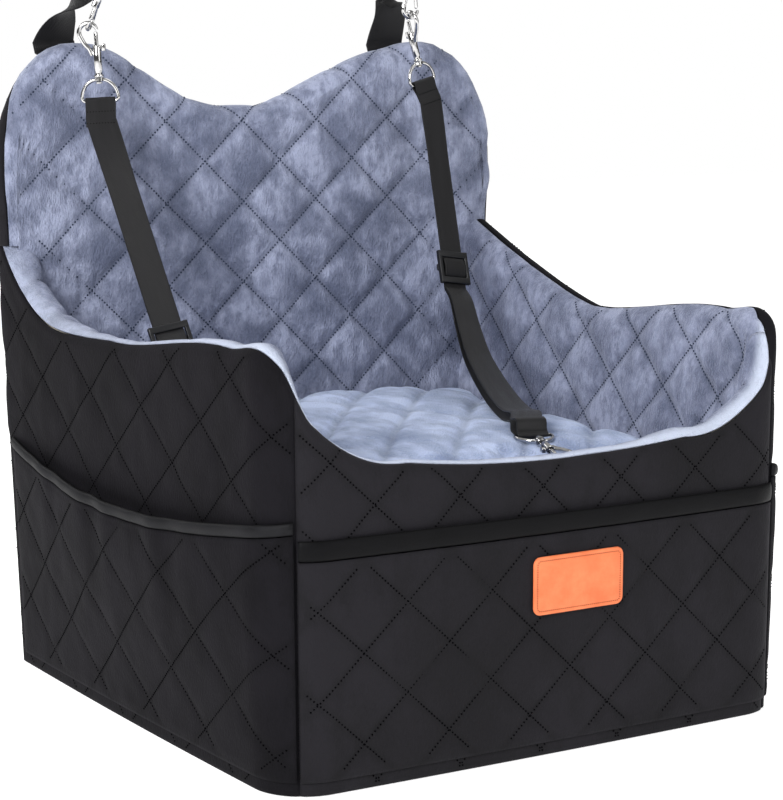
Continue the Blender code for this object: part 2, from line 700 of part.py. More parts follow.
def cushion_outline(across, along):
    """Plan point of the cushion for shares -1 to 1, with its front corners cut back."""
    x = across * (HALF_WIDTH - CUSHION_DEPTH)
    y = along * (HALF_DEPTH - CUSHION_DEPTH)
    corner = CUSHION_CORNER_CUT
    for share in (across, along):
        corner *= ease((abs(share) - CORNER_START_SHARE) / (1 - CORNER_START_SHARE))
    return x - math.copysign(corner, x), y - math.copysign(corner, y)


def cushion_top(across, along, i, j):
    """Height of the quilted crown."""
    dome = (1 - across ** 4) * (1 - along ** 4)
    edge = min(1 - abs(across), 1 - abs(along)) * HALF_WIDTH / CUSHION_EDGE_FADE
    return CUSHION_SEAM_HEIGHT + CUSHION_CROWN * dome + CUSHION_PUFF * puff(i, j) * ease(edge)


def make_cushion():
    """Removable cushion: quilted crown, sides drawn in below the seam, flat underside."""
    shape = bmesh.new()
    across = spread(-1, 1, CUSHION_COLUMNS)
    along = spread(-1, 1, CUSHION_ROWS)
    grid = {}
    for i, u in enumerate(across):
        for j, v in enumerate(along):
            x, y = cushion_outline(u, v)
            grid[0, i, j] = shape.verts.new(warp(x, y, cushion_top(u, v, i, j)))
    for face in sheet_faces(CUSHION_COLUMNS, CUSHION_ROWS, on_stitch_line):
        shape.faces.new([grid[key] for key in face])
    border = [(i, 0) for i in range(CUSHION_COLUMNS)]
    border += [(CUSHION_COLUMNS, j) for j in range(CUSHION_ROWS)]
    border += [(i, CUSHION_ROWS) for i in range(CUSHION_COLUMNS, 0, -1)]
    border += [(0, j) for j in range(CUSHION_ROWS, 0, -1)]
    previous = [grid[0, i, j] for i, j in border]
    low = CUSHION_FLOOR_HEIGHT + GAP
    for level, inset in zip(CUSHION_RING_SHARES, CUSHION_RING_INSETS):
        ring = []
        for i, j in border:
            x, y = cushion_outline(across[i], along[j])
            shrink_x = 1 - inset / HALF_WIDTH
            shrink_y = 1 - inset / HALF_DEPTH
            height = low + (CUSHION_SEAM_HEIGHT - low) * level
            ring.append(shape.verts.new(warp(x * shrink_x, y * shrink_y, height)))
        for k in range(len(ring)):
            m = (k + 1) % len(ring)
            shape.faces.new([previous[k], previous[m], ring[m], ring[k]])
        previous = ring
    shape.faces.new(previous)
    return finish("seat_cushion", mesh_from(shape, "seat_cushion"), PALE_BLUE, CLOTH_ROUGHNESS)


# Pockets on the outside of the box, with their bindings, and the leather patch

POCKET_START_SHARE = 0.02
POCKET_END_SHARE = 0.45
SIDE_POCKET_ENDS = (SIDE_START + SIDE_RUN * POCKET_START_SHARE,
                    SIDE_END + FRONT_ARC * POCKET_END_SHARE)
POCKET_LEVEL_SHARES = [0, 0.12, 0.55, 1]
FULL_SWELL_SHARE = 1.1
FRONT_POCKET_ENDS = (LEFT_SEAM + SEAM_GAP, RIGHT_SEAM - SEAM_GAP)


def pocket_swell(distance, first, last, bulge):
    """How far a pocket stands off the wall at its mouth."""
    share = (distance - first) / (last - first)
    return bulge * math.sin(math.pi * min(max(share, 0.0), 1.0)) ** SWELL_POWER


def side_mouth(distance, first, last):
    """Height of a side pocket's top edge, which sags in the middle."""
    share = (distance - first) / (last - first)
    return SIDE_POCKET_TOP - SIDE_POCKET_SAG * math.sin(math.pi * share)


def make_pocket(name, first, last, bulge, mouth):
    """Pocket panel: flat to the wall round its foot and ends, standing off at its mouth."""
    columns = stations(first, last, 2)
    levels = POCKET_LEVEL_SHARES

    def point(key, side):
        _, i, j = key
        distance = columns[i]
        off = GAP + pocket_swell(distance, first, last, bulge) * ease(levels[j] * FULL_SWELL_SHARE)
        height = POCKET_FOOT + (mouth(distance) - POCKET_FOOT) * levels[j]
        return warp(*plan(distance, -off - POCKET_SKIN * side), height)

    mesh = shell(name, sheet_faces(len(columns) - 1, len(levels) - 1), point)
    return finish(name, mesh, BLACK_VELVET, CLOTH_ROUGHNESS)


def make_binding(name, first, last, bulge, mouth, tall, thick, colour, roughness):
    """Bound top edge of a pocket: a soft flattened tube that follows the mouth."""
    sections = []
    for distance in stations(first, last, 2):
        off = GAP + pocket_swell(distance, first, last, bulge) + POCKET_SKIN / 2
        centre = mouth(distance) + GAP + tall / 2
        section = []
        for k in range(8):
            turn = math.pi / 4 * (k + 0.5)
            out = max(off + thick / 2 * math.cos(turn), GAP)
            rise = tall / 2 * math.sin(turn) * BINDING_FILL_SHARE
            section.append(warp(*plan(distance, -out), centre + rise))
        sections.append(section)
    return finish(name, loft(name, sections), colour, roughness)


def mirrored(distance_pair):
    """The same stretch of wall on the other side."""
    first, last = distance_pair
    return PATH_END - last, PATH_END - first


def make_pockets():
    """Three pockets with their bindings."""
    first, last = FRONT_POCKET_ENDS
    front_mouth = FRONT_POCKET_TOP
    make_pocket("front_pocket", first, last, FRONT_POCKET_BULGE, lambda distance: front_mouth)
    make_binding("front_pocket_binding", first, last, FRONT_POCKET_BULGE,
                 lambda distance: front_mouth, FRONT_BINDING_HEIGHT, FRONT_BINDING_THICKNESS,
                 BLACK_BAND, BAND_ROUGHNESS)
    for side, ends in (("left", SIDE_POCKET_ENDS), ("right", mirrored(SIDE_POCKET_ENDS))):
        first, last = ends

        def mouth(distance, first=first, last=last):
            return side_mouth(distance, first, last)

        make_pocket(side + "_pocket", first, last, SIDE_POCKET_BULGE, mouth)
        make_binding(side + "_pocket_hem", first, last, SIDE_POCKET_BULGE, mouth, HEM_HEIGHT,
                     HEM_THICKNESS, BLACK_BAND, BAND_ROUGHNESS)


def make_patch():
    """Bare leather patch with rounded corners, sewn on the front pocket."""
    outline = []
    for quarter in range(4):
        for k in range(4):
            turn = math.pi / 2 * (quarter + k / 3)
            middle = math.pi / 2 * (quarter + 0.5)
            across = math.copysign(PATCH_WIDTH / 2 - PATCH_CORNER, math.cos(middle))
            up = math.copysign(PATCH_HEIGHT / 2 - PATCH_CORNER, math.sin(middle))
            across += PATCH_CORNER * math.cos(turn)
            up += PATCH_CORNER * math.sin(turn)
            outline.append((across, up))
    first, last = FRONT_POCKET_ENDS
    sections = []
    for lift in (2 * GAP, 2 * GAP + PATCH_SKIN):
        section = []
        for across, up in outline:
            x = PATCH_X + across
            distance = FRONT_START + HALF_WIDTH - FRONT_CORNER_RADIUS + x
            off = pocket_swell(distance, first, last, FRONT_POCKET_BULGE) + POCKET_SKIN + GAP
            section.append(warp(x, -HALF_DEPTH - off - lift, PATCH_CENTRE_HEIGHT + up))
        sections.append(section)
    return finish("leather_patch", loft("leather_patch", sections), ORANGE_LEATHER, LEATHER_ROUGHNESS)


# Webbing, rings and rods

def sweep_sections(path, section, sides, closed=False, widths=None):
    """Sections (across, out) carried along a path; sides gives the across direction."""
    found = []
    count = len(path)
    for k in range(count):
        before = path[k - 1] if closed or k else path[k]
        after = path[(k + 1) % count] if closed or k < count - 1 else path[k]
        along = (after - before).normalized()
        side = sides[k] if isinstance(sides, list) else sides
        side = (side - along * side.dot(along)).normalized()
        out = along.cross(side)
        scale = widths[k] if widths else 1
        found.append([path[k] + side * across * scale + out * lift for across, lift in section])
    return found


def round_section(radius, sides):
    """Points round a circle, for sweeps."""
    turns = [2 * math.pi * (k + 0.5) / sides for k in range(sides)]
    return [(radius * math.cos(turn), radius * math.sin(turn)) for turn in turns]


def lathe(name, profile, sides):
    """Solid of revolution about Z; the first and last rings are closed with flat caps."""
    turns = [2 * math.pi * k / sides for k in range(sides)]
    sections = [[(radius * math.cos(turn), radius * math.sin(turn), height) for turn in turns]
                for radius, height in profile]
    return loft(name, sections)


def box(name, low, high):
    """Rectangular block between two corners."""
    corners = [(low[0], low[1]), (high[0], low[1]), (high[0], high[1]), (low[0], high[1])]
    sections = [[(x, y, z) for x, y in corners] for z in (low[2], high[2])]
    return loft(name, sections)


def combine(name, base, tools):
    """Join meshes to a base or cut them from it, and return the evaluated result."""
    body = bpy.data.objects.new(name + "_base", base)
    CUTTERS.objects.link(body)
    helpers = [body]
    for operation, mesh in tools:
        tool = bpy.data.objects.new(name + "_tool", mesh)
        CUTTERS.objects.link(tool)
        helpers.append(tool)
        modifier = body.modifiers.new("Combine", "BOOLEAN")
        modifier.operation = operation
        modifier.solver = "EXACT"
        modifier.object = tool
    bpy.context.view_layer.update()
    graph = bpy.context.evaluated_depsgraph_get()
    made = bpy.data.meshes.new_from_object(body.evaluated_get(graph))
    made.name = name
    for helper in helpers:
        bpy.data.objects.remove(helper, do_unlink=True)
    return made


# Swivel snap: D-shaped eye, hook on a swivel stem, sprung bolt. Each has Z along the stem.

WIRE_RADIUS = 0.0015
EYE_BAR = -0.0205
EYE_TOP = -0.0026
EYE_HALF = 0.0150
EYE_SHARES = [(0.86, 0.0), (1.0, 0.12), (0.97, 0.38), (0.80, 0.68), (0.45, 0.93)]
BOSS_RADIUS = 0.0042
BOSS_TOP = -0.0009
BOSS_FOOT = -0.0043
BOSS_BORE = 0.0020
STEM_RADIUS = 0.0015
STEM_HEAD_RADIUS = 0.0030
STEM_HEAD_TOP = -0.0047
STEM_HEAD_FOOT = -0.0062
FLANGE_TOP = 0.0012
FLANGE_FOOT = -0.0006
NECK_RADIUS = 0.0030
NECK_TOP = 0.0034
BARREL_RADIUS = 0.0034
BARREL_SHOULDER = 0.0042
BARREL_TOP = 0.0255
BORE_RADIUS = 0.0021
BORE_FOOT = 0.0090
SLOT_HALF = 0.0012
SLOT_FOOT = 0.0132
HOOK_RADIUS = 0.0019
HOOK_ROOT = -0.0047
HOOK_LIFT = 0.0185
HOOK_BEND = -0.0054
HOOK_BEND_LIFT = 0.0226
CROWN_OFFSET = -0.0062
CROWN_CENTRE = 0.0362
CROWN_RADIUS = 0.0076
ROD_RADIUS = 0.0016
ROD_TIP_RADIUS = 0.00096
ROD_FOOT = 0.0190
ROD_TOP = 0.0366
KNOB_LIFT = 0.0235
KNOB_NEAR = 0.0040
KNOB_FAR = 0.0072
KNOB_HALF_WIDTH = 0.0020
KNOB_HALF_HEIGHT = 0.0030
POST_HALF = 0.0008
LOOP_RADIUS = 0.0026
HOOK_PLAY = 0.0009


def eye_mesh():
    """D-shaped wire ring with a bored boss for the stem."""
    rise = EYE_TOP - EYE_BAR
    right = [Vector((across * EYE_HALF, 0, EYE_BAR + up * rise)) for across, up in EYE_SHARES]
    left = [Vector((-point.x, 0, point.z)) for point in reversed(right)]
    path = right + [Vector((0, 0, EYE_TOP))] + left
    ring = loft("eye", sweep_sections(path, round_section(WIRE_RADIUS, 6), Vector((0, 1, 0)), True))
    boss = lathe("boss", [(BOSS_RADIUS, BOSS_FOOT), (BOSS_RADIUS, BOSS_TOP)], 8)
    bore = lathe("bore", [(BOSS_BORE, BOSS_FOOT - GAP), (BOSS_BORE, BOSS_TOP + GAP)], 8)
    return combine("snap_eye", ring, [("UNION", boss), ("DIFFERENCE", bore)])


def hook_mesh():
    """Stem, flange, bored and slotted barrel, and the hook wire that grows from its side."""
    profile = [(BORE_RADIUS, BORE_FOOT), (BORE_RADIUS, BARREL_TOP), (BARREL_RADIUS, BARREL_TOP),
               (BARREL_RADIUS, BARREL_SHOULDER), (NECK_RADIUS, NECK_TOP), (NECK_RADIUS, FLANGE_TOP),
               (BOSS_RADIUS, FLANGE_TOP), (BOSS_RADIUS, FLANGE_FOOT), (STEM_RADIUS, FLANGE_FOOT),
               (STEM_RADIUS, STEM_HEAD_TOP), (STEM_HEAD_RADIUS, STEM_HEAD_TOP),
               (STEM_HEAD_RADIUS, STEM_HEAD_FOOT)]
    barrel = lathe("barrel", profile, 8)
    root = [(HOOK_ROOT, HOOK_LIFT), (HOOK_BEND, HOOK_BEND_LIFT)]
    path = [Vector((x, 0, z)) for x, z in root]
    for degrees in (210, 178, 146, 114, 82, 48, 15):
        turn = math.radians(degrees)
        path.append(Vector((CROWN_OFFSET + CROWN_RADIUS * math.cos(turn), 0,
                            CROWN_CENTRE + CROWN_RADIUS * math.sin(turn))))
    wire = loft("wire", sweep_sections(path, round_section(HOOK_RADIUS, 6), Vector((0, 1, 0))))
    slot = box("slot", (0, -SLOT_HALF, SLOT_FOOT), (2 * BARREL_RADIUS, SLOT_HALF, BARREL_TOP + GAP))
    return combine("snap_hook", barrel, [("UNION", wire), ("DIFFERENCE", slot)])


def bolt_mesh():
    """Sliding bolt that closes the hook, with its thumb knob."""
    rod = lathe("rod", [(ROD_RADIUS, ROD_FOOT), (ROD_RADIUS, ROD_TOP - ROD_RADIUS / 2),
                        (ROD_TIP_RADIUS, ROD_TOP)], 6)
    post = box("post", (0, -POST_HALF, KNOB_LIFT - POST_HALF),
               (KNOB_NEAR + GAP, POST_HALF, KNOB_LIFT + POST_HALF))
    knob = box("knob", (KNOB_NEAR, -KNOB_HALF_WIDTH, KNOB_LIFT - KNOB_HALF_HEIGHT),
               (KNOB_FAR, KNOB_HALF_WIDTH, KNOB_LIFT + KNOB_HALF_HEIGHT))
    return combine("snap_bolt", rod, [("UNION", post), ("UNION", knob)])


SNAP_MESHES = {"eye": eye_mesh(), "hook": hook_mesh(), "bolt": bolt_mesh()}


def make_snap(name, origin, axis, eye_side, hook_side):
    """Three pieces of one snap; the hook and bolt have their origin on the swivel axis."""
    placed = frame(origin, axis, hook_side)
    for piece_name, mesh in SNAP_MESHES.items():
        piece = finish(name + "_" + piece_name, mesh.copy(), CHROME, CHROME_ROUGHNESS, 1.0)
        piece.matrix_world = frame(origin, axis, eye_side) if piece_name == "eye" else placed


def smooth_path(points, step):
    """Rounded path through the points, with a point about every step."""
    padded = [points[0] * 2 - points[1]] + points + [points[-1] * 2 - points[-2]]
    found = [points[0]]
    for k in range(1, len(padded) - 2):
        before, start, end, after = padded[k - 1:k + 3]
        count = max(1, round((end - start).length / step))
        for m in range(1, count + 1):
            t = m / count
            found.append((start * 2 + (end - before) * t
                          + (before * 2 - start * 5 + end * 4 - after) * t * t
                          + (start * 3 - before - end * 3 + after) * t * t * t) / 2)
    return found


def loop_points(centre, out, away, turns):
    """Points round a ring's bar: turn 0 faces out, a quarter turn faces away from the strap."""
    return [centre + (out * math.cos(turn) + away * math.sin(turn)) * LOOP_RADIUS for turn in turns]


def offset_path(path, sides, lift):
    """The path moved out of the webbing's face."""
    found = []
    for k, point in enumerate(path):
        before = path[max(k - 1, 0)]
        after = path[min(k + 1, len(path) - 1)]
        along = (after - before).normalized()
        side = (sides[k] - along * sides[k].dot(along)).normalized()
        found.append(point + along.cross(side) * lift)
    return found


def blend(first, second, share):
    """Direction between two directions."""
    return first.lerp(second, ease(share)).normalized()


WEBBING_HALF = [(-WEBBING_WIDTH / 2, -WEBBING_SKIN / 2), (WEBBING_WIDTH / 2, -WEBBING_SKIN / 2),
                (WEBBING_WIDTH / 2, WEBBING_SKIN / 2), (-WEBBING_WIDTH / 2, WEBBING_SKIN / 2)]
LAYER_LIFT = (WEBBING_SKIN + GAP) / 2


def ribbon(name, path, sides, widths=None):
    """One strap of flat webbing."""
    mesh = loft(name, sweep_sections(path, WEBBING_HALF, sides, False, widths))
    return finish(name, mesh, WEBBING_BLACK, WEBBING_ROUGHNESS)


def facing(towards, across):
    """Unit directions along, across and out of a strap that crosses a bar squarely."""
    along = (towards - across * towards.dot(across)).normalized()
    return along, along.cross(across)


def eye_loop(bar, along, out):
    """Sewn tail, turn round the bar and first stretch of a strap that leaves along `along`."""
    reaches = (TAIL_LENGTH, TAIL_LENGTH / 2, LOOP_NECK)
    tail = [bar + along * reach - out * LAYER_LIFT for reach in reaches]
    turns = [math.radians(degrees) for degrees in (180, 135, 90, 45, 0)]
    ring = loop_points(bar, out, -along, turns)
    lead = [bar + along * LOOP_NECK + out * LAYER_LIFT]
    return tail + ring + lead


def make_tether(side, spec):
    """Tether webbing, its return layer, the slider and the two snaps at its ends."""
    origin = Vector(spec["snap_origin"])
    axis = Vector(spec["snap_axis"]).normalized()
    make_snap(side + "_tether_snap", origin, axis, spec["eye_side"], spec["hook_side"])
    bar = origin + axis * EYE_BAR
    across = frame(origin, axis, spec["eye_side"]).col[0].to_3d()
    slider = Vector(spec["slider"])
    along, out = facing(slider - bar, across)
    head = eye_loop(bar, along, out)
    start = bar + along * (LOOP_NECK * 2) + out * LAYER_LIFT
    reach = (slider - start).length
    run = (slider - start) / reach
    shares = spread(0, 1, STRAIGHT_STEPS)
    runs = [start + (slider - start) * share for share in shares]
    run_side = Vector(spec["run_side"])
    run_side = (run_side - run * run_side.dot(run)).normalized()
    run_sides = [blend(across, run_side, share * reach / TWIST_LENGTH) for share in shares]

    low_bar = Vector(spec["low_bar"])
    low_axis = Vector(spec["low_axis"]).normalized()
    make_snap(side + "_harness_snap", low_bar - low_axis * EYE_BAR, low_axis, spec["low_side"],
              spec["low_hook"])
    low_across = frame(low_bar, low_axis, spec["low_side"]).col[0].to_3d()
    up = low_axis.cross(low_across)
    up = up if up.z > 0 else -up
    below = slider + run * SLIDER_LENGTH * SLIDER_LEAD
    arrive = low_bar - low_axis * LOOP_NECK * 2 + up * LAYER_LIFT
    lower = smooth_path([below] + [Vector(point) for point in spec["lower"]] + [arrive], LOWER_STEP)
    total = len(lower) - 1
    lower_sides = [blend(run_side, low_across, k / total * LOWER_TWIST) for k in range(total + 1)]
    neck = low_bar - low_axis * LOOP_NECK
    end = [neck + up * LAYER_LIFT] + loop_points(low_bar, up, low_axis, [0])
    ribbon(side + "_tether_strap", head + runs + lower + end,
           [across] * len(head) + run_sides + lower_sides + [low_across] * len(end))

    sag = [-(2 * LAYER_LIFT + RETURN_SAG * math.sin(math.pi * k / total)) for k in range(total + 1)]
    under = [offset_path(lower, lower_sides, lift)[k] for k, lift in enumerate(sag)]
    first = slider + run * (SLIDER_BAR / 2 + GAP) - run.cross(run_side) * 2 * LAYER_LIFT
    turns = [math.radians(degrees) for degrees in (10, 45, 90, 135, 180)]
    wrap = [neck - up * LAYER_LIFT] + list(reversed(loop_points(low_bar, up, low_axis, turns)))
    ribbon(side + "_tether_return", [first] + under + wrap,
           [run_side] + lower_sides + [low_across] * len(wrap))
    make_slider(side + "_tether_slider", slider, run, run_side)


def make_slider(name, centre, along, side):
    """Three-bar slider: end bars in front of the webbing, middle bar behind it."""
    near = WEBBING_SKIN / 2 + GAP
    far = near + SLIDER_BAR_SKIN
    leg = WEBBING_WIDTH / 2 + SLIDER_SIDE_PLAY
    wide = leg + SLIDER_LEG
    long = SLIDER_LENGTH / 2
    bar = SLIDER_BAR / 2
    parts = [box("leg", (leg, -near - GAP, -long), (wide, near + GAP, long)),
             box("leg", (-wide, -near - GAP, -long), (-leg, near + GAP, long)),
             box("bar", (-wide + GAP, near, -long + GAP), (wide - GAP, far, -long + SLIDER_BAR)),
             box("bar", (-wide + GAP, near, long - SLIDER_BAR), (wide - GAP, far, long - GAP)),
             box("bar", (-wide + GAP, -far, -bar), (wide - GAP, -near, bar))]
    others = parts[:2] + parts[3:]
    mesh = combine(name, parts[2], [("UNION", part) for part in others])
    piece = finish(name, mesh, PLASTIC_BLACK, PLASTIC_ROUGHNESS, 0.0, 0.4)
    piece.matrix_world = frame(centre, along, side)


def make_headrest_strap(side, spec):
    """Strap sewn into the ear's seam, drawn together to the width of the upper snap's ring."""
    tether = TETHERS[side]
    lower_axis = Vector(tether["snap_axis"]).normalized()
    hook_side = Vector(tether["hook_side"])
    hook_side = (hook_side - lower_axis * hook_side.dot(lower_axis)).normalized()
    crown = Vector(tether["snap_origin"]) + hook_side * CROWN_OFFSET
    crown += lower_axis * (CROWN_CENTRE + CROWN_RADIUS - 2 * HOOK_RADIUS - HOOK_PLAY)
    up = Vector(spec["up"]).normalized()
    turned = Vector(spec["hook_side"])
    turned = (turned - up * turned.dot(up)).normalized()
    origin = crown + up * (CROWN_CENTRE + CROWN_RADIUS) - turned * CROWN_OFFSET
    make_snap(side + "_headrest_snap", origin, -up, spec["eye_side"], turned)
    bar = origin - up * EYE_BAR
    eye_side = frame(origin, -up, spec["eye_side"]).col[0].to_3d()
    foot, outward = roll_surface(spec["base_x"], TOP_SEAM_TURN, 2 * GAP)
    points = [foot, foot + outward * HEADREST_LEAD] + [Vector(point) for point in spec["path"]]
    along, out = facing(points[-1] - bar, eye_side)
    head = eye_loop(bar, along, out)
    leave = bar + along * (LOOP_NECK * 2) + out * LAYER_LIFT
    rest = smooth_path([leave] + list(reversed(points)), HEADREST_STEP)
    base_side = Vector((0, -1, 0)).cross(outward).normalized()
    total = len(rest) - 1
    sides = [eye_side] * len(head) + [blend(eye_side, base_side, k / total) for k in range(total + 1)]
    wider = HEADREST_STRAP_WIDTH / WEBBING_WIDTH - 1
    widths = [1] * len(head)
    for k in range(total + 1):
        widths.append(1 + wider * ease((k / total - TAPER_START_SHARE) / TAPER_SHARE))
    ribbon(side + "_headrest_strap", head + rest, sides, widths)


# Zip across the foot of the back, for taking out the boards


def make_zip():
    """Zip tape, slider with its bridge, and pull that hangs from the bridge."""
    face = HALF_DEPTH + GAP
    tape = box("zip_tape", (-ZIP_LENGTH / 2, face, ZIP_HEIGHT - ZIP_TAPE_WIDTH / 2),
               (ZIP_LENGTH / 2, face + ZIP_TAPE_SKIN, ZIP_HEIGHT + ZIP_TAPE_WIDTH / 2))
    finish("zip_tape", tape, BLACK_BAND, BAND_ROUGHNESS, 0.0, 0.4)
    low = GAP
    body_top = low + ZIP_SLIDER_SKIN
    bridge = body_top + ZIP_PULL_SKIN + 2 * ZIP_PLAY
    parts = [box("body", (-ZIP_SLIDER_WIDTH / 2, low, -ZIP_SLIDER_HEIGHT / 2),
                 (ZIP_SLIDER_WIDTH / 2, body_top, ZIP_SLIDER_HEIGHT / 2))]
    half = ZIP_BRIDGE_WIDTH / 2
    reach = ZIP_PULL_SKIN / 2 + ZIP_PLAY
    for start in (reach, -reach - ZIP_POST):
        parts.append(box("post", (-half, body_top - GAP, start),
                         (half, bridge + GAP, start + ZIP_POST)))
    parts.append(box("beam", (-half, bridge, -reach - ZIP_POST),
                     (half, bridge + ZIP_POST, reach + ZIP_POST)))
    mesh = combine("zip_slider", parts[0], [("UNION", part) for part in parts[1:]])
    slider = finish("zip_slider", mesh, PLASTIC_BLACK, PLASTIC_ROUGHNESS, 0.0, 0.4)
    origin = Vector((ZIP_SLIDER_X, face + ZIP_TAPE_SKIN, ZIP_HEIGHT))
    slider.matrix_world = Matrix.Translation(origin)
    axle = (body_top + bridge) / 2
    skin = ZIP_PULL_SKIN / 2
    wide = ZIP_BRIDGE_WIDTH / 2 + ZIP_PLAY
    rim = wide + ZIP_PULL_SKIN
    clear = math.hypot(reach + ZIP_POST, reach + ZIP_POST) + ZIP_PLAY
    outer = box("pull", (-rim, -skin, -ZIP_PULL_LENGTH), (rim, skin, skin))
    hole = box("hole", (-wide, -ZIP_PULL_SKIN, -clear), (wide, ZIP_PULL_SKIN, -skin))
    mesh = combine("zip_pull", outer, [("DIFFERENCE", hole)])
    pull = finish("zip_pull", mesh, PLASTIC_BLACK, PLASTIC_ROUGHNESS, 0.0, 0.4)
    pull.matrix_world = Matrix.Translation(origin + Vector((0, axle, 0)))


make_walls()
make_backrest()
make_floor()
make_cushion()
make_pockets()
make_patch()
for side_name, tether_spec in TETHERS.items():
    make_tether(side_name, tether_spec)
    make_headrest_strap(side_name, HEADRESTS[side_name])
make_zip()
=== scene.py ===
"""The dog car seat dressed for its photograph: quilted velvet, plush cushion, webbing and chrome.

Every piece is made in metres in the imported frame: +Z up, the front faces -Y.
"""

import math

import bmesh
import bpy
import numpy as np
from mathutils import Matrix, Vector, noise


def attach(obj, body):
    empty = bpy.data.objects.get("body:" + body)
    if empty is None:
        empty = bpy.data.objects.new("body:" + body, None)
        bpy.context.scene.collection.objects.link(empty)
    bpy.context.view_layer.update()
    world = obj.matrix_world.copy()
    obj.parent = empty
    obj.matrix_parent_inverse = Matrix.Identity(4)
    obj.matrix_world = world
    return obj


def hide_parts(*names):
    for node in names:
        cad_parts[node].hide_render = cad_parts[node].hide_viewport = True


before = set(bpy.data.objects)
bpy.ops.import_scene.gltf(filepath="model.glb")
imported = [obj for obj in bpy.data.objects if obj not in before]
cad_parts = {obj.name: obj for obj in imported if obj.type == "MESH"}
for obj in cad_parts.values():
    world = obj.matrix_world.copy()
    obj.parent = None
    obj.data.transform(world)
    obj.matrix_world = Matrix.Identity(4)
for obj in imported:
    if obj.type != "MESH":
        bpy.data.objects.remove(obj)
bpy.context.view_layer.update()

scene = bpy.context.scene


# Camera at the photograph's viewing angle

IMAGE_HEIGHT = 800
FOCAL_PIXELS = 2347.6
SENSOR = 36.0
CAMERA_PLACE = Vector((-1.00633, -1.62782, 0.52760))
CAMERA_TARGET = Vector((0.00155, -0.0048, 0.2402))

camera_data = bpy.data.cameras.new("photo_camera")
camera_data.sensor_fit = "VERTICAL"
camera_data.sensor_height = SENSOR
camera_data.lens = FOCAL_PIXELS / IMAGE_HEIGHT * SENSOR
camera_data.clip_start = 0.05
camera_data.clip_end = 30
camera = bpy.data.objects.new("photo_camera", camera_data)
scene.collection.objects.link(camera)
camera.location = CAMERA_PLACE
camera.rotation_euler = (CAMERA_TARGET - CAMERA_PLACE).to_track_quat("-Z", "Y").to_euler()
scene.camera = camera


# Light

LIGHTS = {
    "key": ((-2.3, -1.5, 1.6), 1.1, 80.0),
    "fill": ((1.2, -2.4, 1.3), 1.8, 19.0),
    "top": ((0.5, 0.0, 2.6), 1.4, 15.0),
    "rim": ((-0.9, 2.2, 1.6), 1.2, 14.0),
}
LIGHT_TARGET = Vector((0.0, 0.0, 0.25))
WORLD_STRENGTH = 0.45
FLOOR_SIZE = 12.0
FLOOR_SHADES = ((0.80, 0.80, 0.80), (0.82, 0.82, 0.82))
FLOOR_GLOW = 0.72
FLOOR_DROP = 0.0002
ROOM_SHADES = ((0.36, 0.75), (0.48, 0.22), (0.56, 0.20), (0.68, 0.9))

for light_name, (place, width, power) in LIGHTS.items():
    lamp = bpy.data.lights.new(light_name + "_light", "AREA")
    lamp.shape = "SQUARE"
    lamp.size = width
    lamp.energy = power
    lamp_object = bpy.data.objects.new(light_name + "_light", lamp)
    scene.collection.objects.link(lamp_object)
    lamp_object.location = place
    lamp_object.rotation_euler = (LIGHT_TARGET - Vector(place)).to_track_quat("-Z", "Y").to_euler()
scene.view_settings.view_transform = "Standard"


def light_room():
    """White backdrop for the eye; the room that lights the seat is paler above than around."""
    scene.world = bpy.data.worlds.new("studio")
    scene.world.use_nodes = True
    tree = scene.world.node_tree
    room = tree.nodes["Background"]
    way = tree.nodes.new("ShaderNodeTexCoord").outputs["Generated"]
    parts = tree.nodes.new("ShaderNodeSeparateXYZ")
    tree.links.new(way, parts.inputs[0])
    ramp = tree.nodes.new("ShaderNodeValToRGB")
    stops = ramp.color_ramp.elements
    stops[0].position, stops[0].color = 0.0, (0.9, 0.9, 0.9, 1.0)
    stops[1].position, stops[1].color = 1.0, (1.0, 1.0, 1.0, 1.0)
    for position, shade in ROOM_SHADES:
        stops.new(position).color = (shade, shade, shade, 1.0)
    share = tree.nodes.new("ShaderNodeMapRange")
    share.inputs["From Min"].default_value = -1.0
    tree.links.new(parts.outputs["Z"], share.inputs["Value"])
    tree.links.new(share.outputs["Result"], ramp.inputs["Fac"])
    tree.links.new(ramp.outputs["Color"], room.inputs["Color"])
    room.inputs["Strength"].default_value = WORLD_STRENGTH
    white = tree.nodes.new("ShaderNodeBackground")
    seen = tree.nodes.new("ShaderNodeLightPath").outputs["Is Camera Ray"]
    both = tree.nodes.new("ShaderNodeMixShader")
    tree.links.new(seen, both.inputs[0])
    tree.links.new(room.outputs[0], both.inputs[1])
    tree.links.new(white.outputs[0], both.inputs[2])
    tree.links.new(both.outputs[0], tree.nodes["World Output"].inputs["Surface"])
    white.inputs["Color"].default_value = (1.0, 1.0, 1.0, 1.0)


light_room()


# Sizes shared with the part, in metres

SEAT_WIDTH = 0.4625
SEAT_DEPTH = 0.470
HALF_WIDTH = SEAT_WIDTH / 2
HALF_DEPTH = SEAT_DEPTH / 2
WALL_THICKNESS = 0.024
ROLL_RADIUS = WALL_THICKNESS / 2
FRONT_CORNER_RADIUS = 0.040
FRONT_RIM_HEIGHT = 0.2265
FRONT_SHOULDER_HEIGHT = 0.235
SIDE_BUMP_HEIGHT = 0.319
SIDE_DIP_HEIGHT = 0.303
EAR_HEIGHT = 0.531
SIDE_BACK_HEIGHT = EAR_HEIGHT * 0.7006
BACK_DIP_HEIGHT = EAR_HEIGHT * 0.896
EAR_SHOULDER_DROP = EAR_HEIGHT * 0.2072
EAR_CENTRE = HALF_WIDTH * 0.694
BACK_FLARE = 0.017
SIDE_BOW = 0.003
FRONT_BOW = 0.003
FRONT_FLARE_SHARE = 0.25
DIP_SHARE = 0.49
BUMP_SHARE = 0.89
SHOULDER_SHARE = 0.18
LEFT_FALL_POWER = 4.0
RIGHT_FALL_POWER = 1.25
